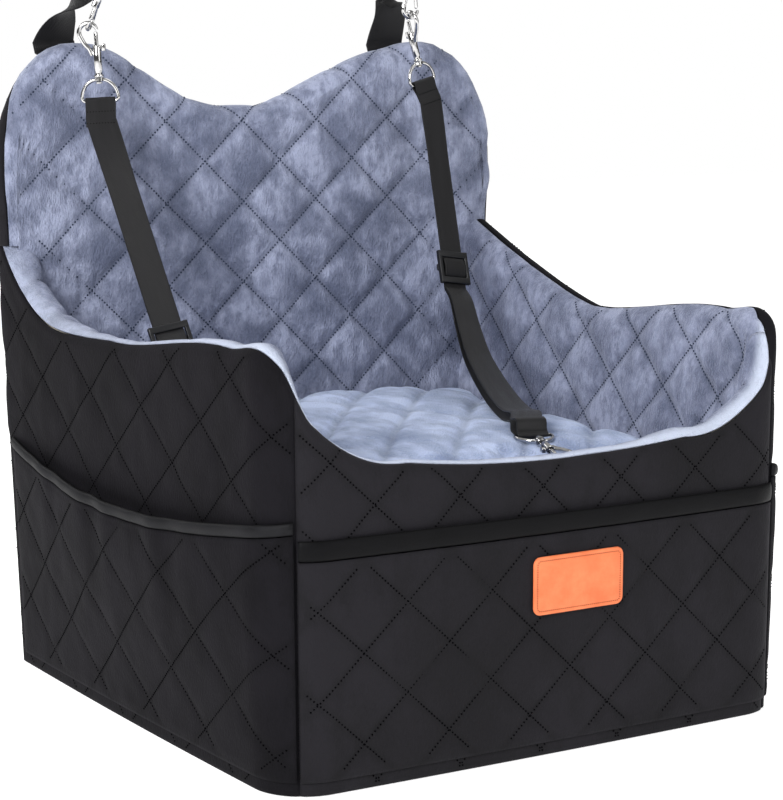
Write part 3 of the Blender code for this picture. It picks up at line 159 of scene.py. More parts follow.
LEFT_DIP_POWER = 2.0
RIGHT_DIP_POWER = 0.7
CORNER_PUFF = 0.0205
CORNER_PUFF_RISE = (-0.033, 0.024)
CORNER_PUFF_FALL = (0.0270, 0.0520)
CUSHION_FLOOR_HEIGHT = 0.121
CUSHION_SEAM_HEIGHT = 0.203
GAP = 0.0003
COVER_FOOT = 0.0008

BACK_ARC = ROLL_RADIUS * math.pi / 2
FRONT_ARC = FRONT_CORNER_RADIUS * math.pi / 2
SIDE_RUN = SEAT_DEPTH - ROLL_RADIUS - FRONT_CORNER_RADIUS
FRONT_RUN = SEAT_WIDTH - 2 * FRONT_CORNER_RADIUS
SIDE_START = BACK_ARC
SIDE_END = SIDE_START + SIDE_RUN
FRONT_START = SIDE_END + FRONT_ARC
FRONT_END = FRONT_START + FRONT_RUN
FAR_SIDE_START = FRONT_END + FRONT_ARC
PATH_END = FAR_SIDE_START + SIDE_RUN + BACK_ARC
LEFT_MITRE = SIDE_END + FRONT_ARC / 2
RIGHT_MITRE = PATH_END - LEFT_MITRE
LEFT_SEAM = SIDE_END + FRONT_ARC * 0.62
RIGHT_SEAM = PATH_END - LEFT_SEAM
SEAM_GAP = 0.001
TOP_SEAM_TURN = math.radians(135)
SEAM_SPREAD = math.radians(6)


# Shape of the box: arrays of points

def ease(share):
    """Smooth step from 0 to 1."""
    share = np.clip(share, 0.0, 1.0)
    return share * share * (3 - 2 * share)


def steep_ease(share):
    """Smoother and steeper step from 0 to 1."""
    share = np.clip(share, 0.0, 1.0)
    return share ** 3 * (share * (share * 6 - 15) + 10)


def plan(distance, depth):
    """Plan points at distances along the path, a depth inside the outer face."""
    distance, depth = np.broadcast_arrays(np.asarray(distance, float), np.asarray(depth, float))
    far = distance > PATH_END / 2
    run = np.where(far, PATH_END - distance, distance)
    back_turn = math.pi / 2 * (1 - run / BACK_ARC)
    back_radius = ROLL_RADIUS - depth
    front_turn = (run - SIDE_END) / FRONT_CORNER_RADIUS
    front_radius = FRONT_CORNER_RADIUS - depth
    zones = [run < SIDE_START, run < SIDE_END, run < FRONT_START]
    x = np.select(zones, [
        -HALF_WIDTH + ROLL_RADIUS - back_radius * np.cos(back_turn),
        -HALF_WIDTH + depth,
        -HALF_WIDTH + FRONT_CORNER_RADIUS - front_radius * np.cos(front_turn),
    ], run - FRONT_START - HALF_WIDTH + FRONT_CORNER_RADIUS)
    y = np.select(zones, [
        HALF_DEPTH - ROLL_RADIUS + back_radius * np.sin(back_turn),
        HALF_DEPTH - ROLL_RADIUS - (run - SIDE_START),
        -HALF_DEPTH + FRONT_CORNER_RADIUS - front_radius * np.sin(front_turn),
    ], -HALF_DEPTH + depth)
    return np.where(far, -x, x), y


def warp(x, y, z):
    """The soft box flares towards the top of the back, and its faces bow out a little."""
    x, y, z = np.broadcast_arrays(x, y, z)
    back_share = FRONT_FLARE_SHARE + (1 - FRONT_FLARE_SHARE) * (y / SEAT_DEPTH + 0.5)
    flare = BACK_FLARE * np.minimum(z / (EAR_HEIGHT - EAR_SHOULDER_DROP), 1.0) * back_share
    side_share = np.cos(math.pi * np.minimum(np.abs(y / SEAT_DEPTH), 0.5))
    front_share = np.cos(math.pi * np.minimum(np.abs(x / SEAT_WIDTH), 0.5))
    wide = x * (1 + 2 * (flare + SIDE_BOW * side_share) / SEAT_WIDTH)
    deep = np.where(y < 0, y * (1 + 2 * FRONT_BOW * front_share / SEAT_DEPTH), y)
    return np.stack([wide, deep, z], axis=-1)


def rim_height(distance):
    """Top of the front and side walls along the path."""
    run = np.minimum(distance, PATH_END - distance) - SIDE_START
    dip_at = SIDE_RUN * DIP_SHARE
    bump_at = SIDE_RUN * BUMP_SHARE
    shoulder_at = SIDE_RUN + FRONT_ARC + FRONT_RUN * SHOULDER_SHARE
    middle_at = SIDE_RUN + FRONT_ARC + FRONT_RUN / 2
    fall_share = np.clip(1 - np.maximum(run, 0) / dip_at, 0, 1)
    power = np.where(distance < PATH_END / 2, LEFT_FALL_POWER, RIGHT_FALL_POWER)
    back = SIDE_DIP_HEIGHT + (SIDE_BACK_HEIGHT - SIDE_DIP_HEIGHT) * fall_share ** power
    bump = SIDE_DIP_HEIGHT + (SIDE_BUMP_HEIGHT - SIDE_DIP_HEIGHT) * ease((run - dip_at) / (bump_at - dip_at))
    fall = steep_ease((run - bump_at) / (shoulder_at - bump_at))
    shoulder = SIDE_BUMP_HEIGHT - (SIDE_BUMP_HEIGHT - FRONT_SHOULDER_HEIGHT) * fall
    tail_share = np.clip(1 - (run - shoulder_at) / (middle_at - shoulder_at), 0, 1)
    front = FRONT_RIM_HEIGHT + (FRONT_SHOULDER_HEIGHT - FRONT_RIM_HEIGHT) * tail_share ** 2
    rim = np.select([run < dip_at, run < bump_at, run < shoulder_at], [back, bump, shoulder], front)
    rise_from, rise_to = CORNER_PUFF_RISE
    fall_from, fall_to = CORNER_PUFF_FALL
    puffed = ease((run - SIDE_RUN - rise_from) / (rise_to - rise_from))
    puffed *= 1 - ease((run - SIDE_RUN - fall_from) / (fall_to - fall_from))
    return rim + CORNER_PUFF * puffed


def outline(x):
    """Height of the roll's centre line above x on the backrest, and the way out of it."""
    sign = np.where(x >= 0, 1.0, -1.0)
    offset = np.abs(x)
    share = offset / EAR_CENTRE
    power = np.where(x < 0, LEFT_DIP_POWER, RIGHT_DIP_POWER)
    rise = (EAR_HEIGHT - BACK_DIP_HEIGHT) * ease(share) ** power
    slope = rise * power * 6 * (1 - share) / np.maximum(3 - 2 * share, 0.5) / np.maximum(offset, GAP)
    wide = HALF_WIDTH - ROLL_RADIUS - EAR_CENTRE
    drop = EAR_SHOULDER_DROP - ROLL_RADIUS
    turn = np.arcsin(np.clip((offset - EAR_CENTRE) / wide, 0.0, 1.0))
    between = offset <= EAR_CENTRE
    height = np.where(between, BACK_DIP_HEIGHT + rise - ROLL_RADIUS,
                      EAR_HEIGHT - ROLL_RADIUS - drop * (1 - np.cos(turn)))
    out_x = np.where(between, -slope * sign, sign * np.sin(turn) / wide)
    out_z = np.where(between, 1.0, np.cos(turn) / drop)
    size = np.hypot(out_x, out_z)
    return height, out_x / size, out_z / size


def roll(rim, turn, radius):
    """Depth and height on the rounded top of a wall: turn 0 is inside, pi is outside."""
    return ROLL_RADIUS + radius * np.cos(turn), rim - ROLL_RADIUS + radius * np.sin(turn)


def wall_place(distance, rise, foot, outside, lift=0.0, skin=0.0):
    """Point on a wall's cloth: rise runs up from foot and then over the rounded top.

    Outside faces out of the box and inside faces into it; lift pushes the cloth off the wall.
    """
    rim = rim_height(distance)
    straight = rim - ROLL_RADIUS - foot
    over = np.maximum(rise - straight, 0) / ROLL_RADIUS
    turn = math.pi - over if outside else over
    on_top = rise > straight
    top_depth, top_height = roll(rim, turn, ROLL_RADIUS + lift - skin)
    face = skin - lift if outside else WALL_THICKNESS + lift - skin
    depth = np.where(on_top, top_depth, face)
    height = np.where(on_top, top_height, foot + rise)
    return warp(*plan(distance, depth), height)


# Quilting: each kind has the place of one crossing, across and up, and a diamond's width and height

LINER_PUFF = 0.0040
COVER_PUFF = 0.0010
CREASE = 0.0065
VALLEY = 0.0011
QUILTS = {
    "back": (-0.01825, 0.321, 0.070, 0.0715),
    "side": (0.019, 0.284, 0.075, 0.074),
    "front": (0.004, 0.170, 0.072, 0.074),
    "cover_side": (0.010, 0.222, 0.091, 0.075),
    "pocket_side": (0.010, 0.141, 0.091, 0.075),
    "cover_front": (-0.15425, 0.207, 0.0715, 0.067),
    "pocket_front": (0.01275, 0.068, 0.0715, 0.067),
}


def line_gaps(across, up, quilt):
    """Distance of points to the nearest stitched line of each of the two slants."""
    at_across, at_up, width, height = QUILTS[quilt]
    slant = math.hypot(1 / width, 1 / height)
    gaps = []
    for sign in (1, -1):
        share = (across - at_across) / width + sign * (up - at_up) / height
        gaps.append(np.abs(share - np.round(share)) / slant)
    return gaps


def puff(across, up, quilt):
    """Height of the quilting, from 0 on the stitched lines to 1 amid a diamond."""
    first, second = (np.maximum(gap - VALLEY, 0) / CREASE for gap in line_gaps(across, up, quilt))
    return np.tanh(first) * np.tanh(second)


def ripple(points, size, seed):
    """Soft random swell of the cloth, from -1 to 1, at an array of points."""
    shift = Vector((seed * 7.31, seed * 3.17, seed * 5.71))
    flat = points.reshape(-1, 3)
    found = [noise.noise(Vector(point) / size + shift) for point in flat]
    return np.array(found).reshape(points.shape[:-1])


def swells(points, seeds, sizes):
    """Sum of ripples, each with its own size and height."""
    return sum(ripple(points, size, seed) * height for seed, (size, height) in zip(seeds, sizes))


# Meshes

SEAT = bpy.data.collections.new("dressed_seat")
scene.collection.children.link(SEAT)


def piece_from(name, mesh, finish, smooth_angle=None):
    """Link a mesh as a named piece with its finish."""
    piece = bpy.data.objects.new(name, mesh)
    SEAT.objects.link(piece)
    mesh.materials.clear()
    mesh.materials.append(finish)
    mesh.shade_smooth()
    if smooth_angle:
        mesh.set_sharp_from_angle(angle=smooth_angle)
    return piece


def settle(piece, nodes=(), body="seat"):
    """Attach a finished piece to its body and hide the solids that it stands for."""
    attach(piece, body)
    if nodes:
        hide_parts(*nodes)
    return piece


def mesh_from(shape, name):
    """Turn a bmesh into mesh data with its faces outwards."""
    bmesh.ops.recalc_face_normals(shape, faces=shape.faces)
    mesh = bpy.data.meshes.new(name)
    shape.to_mesh(mesh)
    shape.free()
    return mesh


def grid_faces(columns, rows):
    """Corner numbers of the faces of a grid of points."""
    i, j = np.meshgrid(np.arange(columns - 1), np.arange(rows - 1), indexing="ij")
    low = i * rows + j
    far = low + rows
    return np.stack([low, far, far + 1, low + 1], axis=-1).reshape(-1, 4)


def skin(name, front, back, faces, across, up, marks, rim=None):
    """Closed cloth between two matching sets of points, with a map in metres and its marks for painted crease
    shade and rim highlight.
    """
    half = len(front)
    directed = set()
    for face in faces.tolist():
        directed.update(zip(face, face[1:] + face[:1]))
    edge = np.array(sorted(pair for pair in directed if pair[::-1] not in directed))
    sides = np.stack([edge[:, 1], edge[:, 0], edge[:, 0] + half, edge[:, 1] + half], axis=-1)
    corners = np.concatenate([faces, faces[:, ::-1] + half, sides])
    mesh = bpy.data.meshes.new(name)
    mesh.from_pydata(np.concatenate([front, back]).tolist(), [], corners.tolist())
    spread = np.stack([np.concatenate([across] * 2), np.concatenate([up] * 2)], axis=-1)
    layer = mesh.uv_layers.new(name="cloth")
    layer.data.foreach_set("uv", spread[corners.ravel()].ravel())
    for label, values in (("crease", marks), ("rim", rim)):
        if values is not None:
            mark = mesh.attributes.new(label, "FLOAT", "POINT")
            mark.data.foreach_set("value", np.concatenate([values] * 2))
    return turn_out(mesh)


def shell(name, front, back, across, up, marks, rim=None):
    """Closed cloth between two grids of points."""
    columns, rows = front.shape[:2]
    return skin(name, front.reshape(-1, 3), back.reshape(-1, 3), grid_faces(columns, rows),
                across.ravel(), up.ravel(), marks.ravel(), None if rim is None else rim.ravel())


def helper_from(name, mesh):
    """Link a mesh as a passing object, for its modifiers."""
    helper = bpy.data.objects.new(name, mesh)
    scene.collection.objects.link(helper)
    return helper


def evaluated(helper, name):
    """Plain mesh of an object with its modifiers done."""
    bpy.context.view_layer.update()
    graph = bpy.context.evaluated_depsgraph_get()
    made = bpy.data.meshes.new_from_object(helper.evaluated_get(graph))
    made.name = name
    return made


def turn_out(mesh):
    """Point the faces of a closed mesh outwards."""
    shape = bmesh.new()
    shape.from_mesh(mesh)
    bmesh.ops.recalc_face_normals(shape, faces=shape.faces)
    shape.to_mesh(mesh)
    shape.free()
    return mesh


def rounded_rectangle(half_wide, half_deep, corner, steps):
    """Points round a rectangle with rounded corners."""
    found = []
    for quarter in range(4):
        middle = math.pi / 2 * (quarter + 0.5)
        across = math.copysign(half_wide - corner, math.cos(middle))
        deep = math.copysign(half_deep - corner, math.sin(middle))
        for k in range(steps + 1):
            turn = math.pi / 2 * (quarter + k / steps)
            found.append((across + corner * math.cos(turn), deep + corner * math.sin(turn)))
    return found


def loft(name, sections, closed=False):
    """Closed solid through a row of sections with equal numbers of points."""
    shape = bmesh.new()
    rings = [[shape.verts.new(point) for point in section] for section in sections]
    pairs = list(zip(rings, rings[1:] + rings[:1])) if closed else list(zip(rings, rings[1:]))
    for first, second in pairs:
        for k in range(len(first)):
            m = (k + 1) % len(first)
            shape.faces.new([first[k], first[m], second[m], second[k]])
    if not closed:
        shape.faces.new(rings[0])
        shape.faces.new(list(reversed(rings[-1])))
    return mesh_from(shape, name)


# Finishes

def put(tree, kind, inputs=None, **settings):
    """Add a node, with its settings and its inputs as values or links."""
    node = tree.nodes.new(kind)
    for key, value in settings.items():
        setattr(node, key, value)
    for key, value in (inputs or {}).items():
        socket = node.inputs[key]
        if isinstance(value, bpy.types.NodeSocket):
            tree.links.new(value, socket)
        else:
            socket.default_value = value
    return node


def new_finish(name, **constants):
    """Empty Principled finish; constants are set on the shader's own sockets."""
    made = bpy.data.materials.new(name)
    made.use_nodes = True
    shader = made.node_tree.nodes["Principled BSDF"]
    for key, value in constants.items():
        shader.inputs[key.replace("_", " ")].default_value = value
    return made, made.node_tree, shader


def maths(tree, operation, *values):
    """Result of one operation on values or links."""
    return put(tree, "ShaderNodeMath", dict(enumerate(values)), operation=operation).outputs[0]


def mix(tree, share, first, second):
    """Mix two colours."""
    node = put(tree, "ShaderNodeMix", {"Factor": share}, data_type="RGBA")
    for socket, value in zip((node.inputs[6], node.inputs[7]), (first, second)):
        if isinstance(value, bpy.types.NodeSocket):
            tree.links.new(value, socket)
        else:
            socket.default_value = (*value, 1.0)
    return node.outputs[2]


def grain(tree, vector, scale, detail=4.0, roughness=0.6, low=0.3, high=0.7):
    """Noise stretched to run from 0 to 1."""
    cloud = put(tree, "ShaderNodeTexNoise", {"Vector": vector, "Scale": scale, "Detail": detail,
                                             "Roughness": roughness})
    spread = put(tree, "ShaderNodeMapRange", {"Value": cloud.outputs["Fac"], "From Min": low,
                                              "From Max": high})
    return spread.outputs["Result"]


def stretched(tree, vector, stretch):
    """The coordinates stretched along each axis."""
    return put(tree, "ShaderNodeMapping", {"Vector": vector, "Scale": stretch}).outputs["Vector"]


def bumped(tree, shader, height, distance, strength=1.0):
    """Send a height to the shader's normal."""
    bump = put(tree, "ShaderNodeBump", {"Height": height, "Distance": distance, "Strength": strength})
    tree.links.new(bump.outputs["Normal"], shader.inputs["Normal"])


def object_place(tree):
    """Coordinates of the piece itself."""
    return put(tree, "ShaderNodeTexCoord").outputs["Object"]


def spread_to(tree, value, low, high, socket):
    """Send a value from 0 to 1 to a socket as one from low to high."""
    spread = put(tree, "ShaderNodeMapRange", {"Value": value, "To Min": low, "To Max": high})
    tree.links.new(spread.outputs["Result"], socket)


def grained_finish(name, scale, deep, pale, roughness, relief, gloss=0.5, metallic=0.0):
    """Plain stuff whose shade and skin, and a range of roughness, follow one fine grain."""
    made, tree, shader = new_finish(name, Metallic=metallic)
    shader.inputs["Specular IOR Level"].default_value = gloss
    cells = grain(tree, object_place(tree), scale)
    tree.links.new(mix(tree, cells, deep, pale), shader.inputs["Base Color"])
    if isinstance(roughness, tuple):
        spread_to(tree, cells, *roughness, shader.inputs["Roughness"])
    else:
        shader.inputs["Roughness"].default_value = roughness
    bumped(tree, shader, cells, relief)
    return made


# A grain is its noise's detail and roughness and the two ends that are stretched to 0 and 1

PATCH_GRAIN = (5.0, 0.62, 0.37, 0.63)
CLOUD_GRAIN = (2.0, 0.5, 0.32, 0.68)
FIBRE_GRAIN = (2.0, 0.7, 0.2, 0.8)
FIBRE_STRETCH = (1.0, 1.0, 0.45)
FIBRE_SCALE = 620.0
CLOUD_SCALE_SHARE = 0.22
CLOUD_SHARE = 0.30
PATCH_RELIEF = 0.35
# Painted shade along the creases: how far up the crease mark it reaches, and how dark a copy of the cloth it
# blends to
CREASE_SHADOW_REACH = 0.55
CREASE_SHADOW_TONE = 0.35
ROUGH_SHEEN = 0.35


def pile_finish(name, deep, pale, patch_scale, streak, sheen, sheen_tint, roughness, crease_shade, relief,
                rim=None, speckle=0.30, gloss=0.25):
    """Velvet or plush: patches where the pile lies another way, fine fibres, painted shade along the creases
    and a painted highlight on the rim.
    """
    made, tree, shader = new_finish(name, Roughness=roughness, Sheen_Weight=sheen,
                                    Sheen_Roughness=ROUGH_SHEEN)
    shader.inputs["Sheen Tint"].default_value = (*sheen_tint, 1.0)
    shader.inputs["Specular IOR Level"].default_value = gloss
    place = object_place(tree)
    patches = grain(tree, stretched(tree, place, streak), patch_scale, *PATCH_GRAIN)
    clouds = grain(tree, place, patch_scale * CLOUD_SCALE_SHARE, *CLOUD_GRAIN)
    fibres = grain(tree, stretched(tree, place, FIBRE_STRETCH), FIBRE_SCALE, *FIBRE_GRAIN)
    tone = maths(tree, "MULTIPLY_ADD", patches, clouds, maths(tree, "MULTIPLY", clouds, CLOUD_SHARE))
    cloth = mix(tree, maths(tree, "MULTIPLY_ADD", fibres, speckle, tone), deep, pale)
    # Painted shade: the colour darkens where the crease mark is low, along stitched lines and channel seams
    mark = put(tree, "ShaderNodeAttribute", attribute_name="crease").outputs["Fac"]
    crease_shadow = put(tree, "ShaderNodeMapRange", {"Value": mark, "From Min": 0.0, "From Max": CREASE_SHADOW_REACH,
                                            "To Min": crease_shade, "To Max": 0.0}).outputs["Result"]
    shaded = mix(tree, crease_shadow, cloth, tuple(channel * CREASE_SHADOW_TONE for channel in deep))
    # Painted highlight: a paler colour laid over the rolled top of the liner, where the pile catches the
    # light
    if rim:
        edge = put(tree, "ShaderNodeAttribute", attribute_name="rim").outputs["Fac"]
        shaded = mix(tree, edge, shaded, rim)
    tree.links.new(shaded, shader.inputs["Base Color"])
    bumped(tree, shader, maths(tree, "MULTIPLY_ADD", patches, PATCH_RELIEF, fibres), relief)
    return made


# The liner's rim colour is a painted highlight for its rolled top
LINER_VELVET = pile_finish("liner_velvet", (0.086, 0.102, 0.164), (0.330, 0.362, 0.496), 120.0,
                           (1.0, 1.0, 0.55), 0.38, (0.80, 0.84, 1.0), 0.8, 0.24, 0.0012,
                           rim=(0.60, 0.66, 0.80))
CUSHION_PLUSH = pile_finish("cushion_plush", (0.110, 0.158, 0.310), (0.480, 0.560, 0.790), 70.0,
                            (0.8, 0.35, 1.0), 0.50, (0.84, 0.91, 1.0), 0.85, 0.42, 0.0014)
COVER_VELVET = pile_finish("cover_velvet", (0.0019, 0.0016, 0.0027), (0.0072, 0.0064, 0.0092), 34.0,
                           (1.0, 1.0, 0.5), 0.04, (0.58, 0.54, 0.68), 0.85, 0.35, 0.00030, speckle=0.6)
# Painted shade: a darker copy of the cover velvet for the sides and their pockets, standing for the shade
# they lie in
SHADED_SIDE_VELVET = pile_finish("shaded_side_velvet", (0.0012, 0.0010, 0.0018), (0.0048, 0.0042, 0.0062), 34.0,
                          (1.0, 1.0, 0.5), 0.02, (0.58, 0.54, 0.68), 0.85, 0.35, 0.00030, speckle=0.6,
                          gloss=0.14)


THREAD_GRAIN_SCALE = 240.0
THREAD_RELIEF = 0.0002
THREAD_PALER = 1.7


def thread_and_dent_shade_finish(name, shade, roughness, gloss):
    """Thread, and the dark dots of painted shade for pressed dents, a little uneven."""
    pale = tuple(channel * THREAD_PALER for channel in shade)
    return grained_finish(name, THREAD_GRAIN_SCALE, shade, pale, roughness, THREAD_RELIEF, gloss)


# Painted shade: the dark blue dots stand for the shade in the pressed dents along the liner's quilting
BLUE_DENT_SHADE = thread_and_dent_shade_finish("blue_dent_shade", (0.022, 0.030, 0.052), 0.85, 0.05)
# Real black thread where the webbing is sewn; on the black cover's quilting the dark dots are painted shade
# for the pressed dents
BLACK_THREAD_AND_DENT_SHADE = thread_and_dent_shade_finish("black_thread_and_dent_shade", (0.0008, 0.0008, 0.0010), 0.9, 0.0)
ORANGE_STITCH = thread_and_dent_shade_finish("orange_stitch", (0.085, 0.012, 0.004), 0.7, 0.1)


# Pressed stitches along lines, made by geometry nodes

# The dots are flat discs; on the quilting their dark colour is painted shade for the pressed dents
STITCH_PITCH = 0.0031
STITCH_WIDTH = 0.0019
COVER_STITCH_WIDTH = 0.0015
STITCH_LIFT = 0.0007


def stitch_tree():
    """Node tree that sets a flat dot at every pitch along the edges of a mesh."""
    tree = bpy.data.node_groups.new("pressed_stitches", "GeometryNodeTree")
    for label, kind in (("Lines", "NodeSocketGeometry"), ("Pitch", "NodeSocketFloat"),
                        ("Dot Width", "NodeSocketFloat"), ("Dot Lift", "NodeSocketFloat"),
                        ("Thread", "NodeSocketMaterial")):
        tree.interface.new_socket(label, in_out="INPUT", socket_type=kind)
    tree.interface.new_socket("Stitches", in_out="OUTPUT", socket_type="NodeSocketGeometry")
    given = put(tree, "NodeGroupInput").outputs
    curve = put(tree, "GeometryNodeMeshToCurve", {"Mesh": given["Lines"]})
    marks = put(tree, "GeometryNodeResampleCurve", {"Curve": curve.outputs[0], "Length": given["Pitch"]},
                mode="LENGTH")
    out = put(tree, "GeometryNodeInputNamedAttribute", {"Name": "out"}, data_type="FLOAT_VECTOR")
    turn = put(tree, "FunctionNodeAlignRotationToVector", {"Vector": out.outputs[0]}, axis="Z")
    dot = put(tree, "GeometryNodeMeshIcoSphere", {"Radius": 0.5, "Subdivisions": 1})
    size = put(tree, "ShaderNodeCombineXYZ", {"X": given["Dot Width"], "Y": given["Dot Width"],
                                              "Z": given["Dot Lift"]})
    dots = put(tree, "GeometryNodeInstanceOnPoints", {
        "Points": marks.outputs[0], "Instance": dot.outputs[0], "Rotation": turn.outputs[0],
        "Scale": size.outputs[0]})
    real = put(tree, "GeometryNodeRealizeInstances", {"Geometry": dots.outputs[0]})
    threaded = put(tree, "GeometryNodeSetMaterial", {"Geometry": real.outputs[0],
                                                     "Material": given["Thread"]})
    result = put(tree, "NodeGroupOutput")
    tree.links.new(threaded.outputs[0], result.inputs[0])
    return tree


STITCH_TREE = stitch_tree()


def plain_from_nodes(name, mesh, tree, values):
    """Run a node tree over a mesh and return the result as a plain mesh."""
    helper = helper_from(name, mesh)
    modifier = helper.modifiers.new("Nodes", "NODES")
    modifier.node_group = tree
    for socket in tree.interface.items_tree:
        if socket.in_out == "INPUT" and socket.name in values:
            modifier[socket.identifier] = values[socket.name]
    helper.update_tag()
    made = evaluated(helper, name)
    bpy.data.objects.remove(helper, do_unlink=True)
    return made


def stitches(name, rows, thread, slot, pitch=STITCH_PITCH, width=STITCH_WIDTH, lift=STITCH_LIFT):
    """Dots along rows of (points, outs)."""
    points, outs, edges = [], [], []
    for row, out in rows:
        start = len(points)
        points += row.tolist()
        outs += out.tolist()
        edges += [(start + k, start + k + 1) for k in range(len(row) - 1)]
    mesh = bpy.data.meshes.new(name)
    mesh.from_pydata(points, edges, [])
    mark = mesh.attributes.new("out", "FLOAT_VECTOR", "POINT")
    mark.data.foreach_set("vector", np.array(outs, dtype=float).ravel())
    made = plain_from_nodes(name, mesh, STITCH_TREE, {
        "Pitch": pitch, "Dot Width": width, "Dot Lift": lift, "Thread": thread})
    return settle(piece_from(name, made, thread))


LINE_STEP = 0.004
SHORTEST_LINE = 4
LONGEST_STEP = 0.011
LINE_LIFT = 0.00025
PROBE = 0.001


def out_of(place, across, up):
    """Points of a surface, a little off it, and the way out of it."""
    near = place(across, up, LINE_LIFT)
    far = place(across, up, LINE_LIFT + PROBE)
    out = far - near
    return near, out / np.maximum(np.linalg.norm(out, axis=-1, keepdims=True), 1e-9)


def quilt_rows(place, quilt, across_range, up_range, keep):
    """Rows of points along a surface's stitched lines; keep says where the surface is."""
    at_across, at_up, width, height = QUILTS[quilt]
    rows = []
    up = np.arange(up_range[0], up_range[1], LINE_STEP)
    for sign in (1, -1):
        shares = [(a - at_across) / width + sign * (u - at_up) / height
                  for a in across_range for u in up_range]
        for number in range(math.ceil(min(shares)), math.floor(max(shares)) + 1):
            across = at_across + width * (number - sign * (up - at_up) / height)
            good = (across > across_range[0]) & (across < across_range[1]) & keep(across, up)
            cuts = np.flatnonzero(np.diff(np.concatenate([[0], good.astype(int), [0]])))
            for start, end in zip(cuts[::2], cuts[1::2]):
                if end - start < SHORTEST_LINE:
                    continue
                row, outs = out_of(place, across[start:end], up[start:end])
                jumps = np.flatnonzero(np.linalg.norm(np.diff(row, axis=0), axis=1) > LONGEST_STEP) + 1
                rows += [(part, out) for part, out in zip(np.split(row, jumps), np.split(outs, jumps))
                         if len(part) >= SHORTEST_LINE]
    return rows


# Webbing, chrome snaps and sliders, where the part's source has them

RIB_PITCH = 0.0016
YARN_PITCH = 0.0012
RIB_RELIEF = 0.00012
RIB_SHADE = 0.18
RUB_STRETCH = (160.0, 14.0, 1.0)
WEBBING_SHADES = ((0.0020, 0.0019, 0.0025), (0.0068, 0.0066, 0.0080))


def webbing_finish():
    """Shiny black webbing: fine ribs across it and a paler rub along it."""
    made, tree, shader = new_finish("black_webbing", Sheen_Weight=0.04)
    shader.inputs["Specular IOR Level"].default_value = 0.22
    cloth = put(tree, "ShaderNodeUVMap", uv_map="cloth").outputs["UV"]
    parts = put(tree, "ShaderNodeSeparateXYZ", {"Vector": cloth}).outputs
    ribs = maths(tree, "SINE", maths(tree, "MULTIPLY", parts["Y"], 2 * math.pi / RIB_PITCH))
    yarns = maths(tree, "SINE", maths(tree, "MULTIPLY", parts["X"], 2 * math.pi / YARN_PITCH))
    weave = maths(tree, "MULTIPLY", ribs, yarns)
    rub = grain(tree, stretched(tree, cloth, RUB_STRETCH), 1.0, 3.0)
    tone = maths(tree, "MULTIPLY_ADD", weave, RIB_SHADE, rub)
    tree.links.new(mix(tree, tone, *WEBBING_SHADES), shader.inputs["Base Color"])
    spread_to(tree, rub, 0.30, 0.46, shader.inputs["Roughness"])
    bumped(tree, shader, weave, RIB_RELIEF)
    return made


WEBBING = webbing_finish()
CHROME = grained_finish("polished_chrome", 180.0, (0.42, 0.416, 0.412), (0.70, 0.695, 0.69), (0.07, 0.16),
                        0.00004, metallic=1.0)
PLASTIC = grained_finish("moulded_plastic", 1500.0, (0.0060, 0.0062, 0.0072), (0.0120, 0.0124, 0.0140),
                         (0.30, 0.42), 0.00005, 0.3)

WEBBING_WIDTH = 0.025
WEBBING_SKIN = 0.0013
HEADREST_STRAP_WIDTH = 0.038
STRAP_EDGE = [-0.5, -0.49, -0.46, -0.40, -0.2, 0.0, 0.2, 0.40, 0.46, 0.49, 0.5]
ROUND_EDGE_SHARE = 0.04
THIN_EDGE_SHARE = 0.35
SELVEDGE_PLACE_SHARE = 0.43
SELVEDGE_HALF_SHARE = 0.015
SELVEDGE_DEPTH_SHARE = 0.22
TAIL_LENGTH = 0.022
TAIL_STEPS = 5
LOOP_NECK = 0.008
LOOP_RADIUS = 0.0026
LOOP_TURNS = [math.radians(degrees) for degrees in range(180, -1, -15)]
RETURN_TURNS = [math.radians(degrees) for degrees in range(10, 181, 10)]
LOW_END_TURNS = [0, math.radians(40)]
LAYER_LIFT = (WEBBING_SKIN + GAP) / 2
TWIST_LENGTH = 0.060
STRAP_STEP = 0.0035
HEADREST_LEAD = 0.006
LOWER_TWIST = 1.4
TAPER_START_SHARE = 0.25
TAPER_SHARE = 0.7
RETURN_SAG = 0.0035
ARCH_LEAD = 0.45
ARCH_FOLD = [(0.0170, 0.80), (0.0100, 1.0), (0.0052, 0.95), (0.0034, 0.72), (0.0029, 0.35)]
SLIDER_LENGTH = 0.030
SLIDER_LEAD = 0.62
SLIDER_BAR = 0.006
SLIDER_BAR_SKIN = 0.0022
SLIDER_SIDE_PLAY = 0.0009
SLIDER_LEG = 0.0038
SLIDER_EDGE = 0.0009
SLIDER_CREASE = math.radians(35)
FOLD_RISE = 0.0021
FOLD_REACH = 0.0083
FOLD_WIDTH_SHARE = 0.97
FOLD_STEPS = 16
SEWN_REACHES = (0.0095, 0.0195)
SEWN_SHARES = np.linspace(-0.44, 0.44, 12)
SEWN_THREAD = (0.0022, 0.0011, 0.0006)

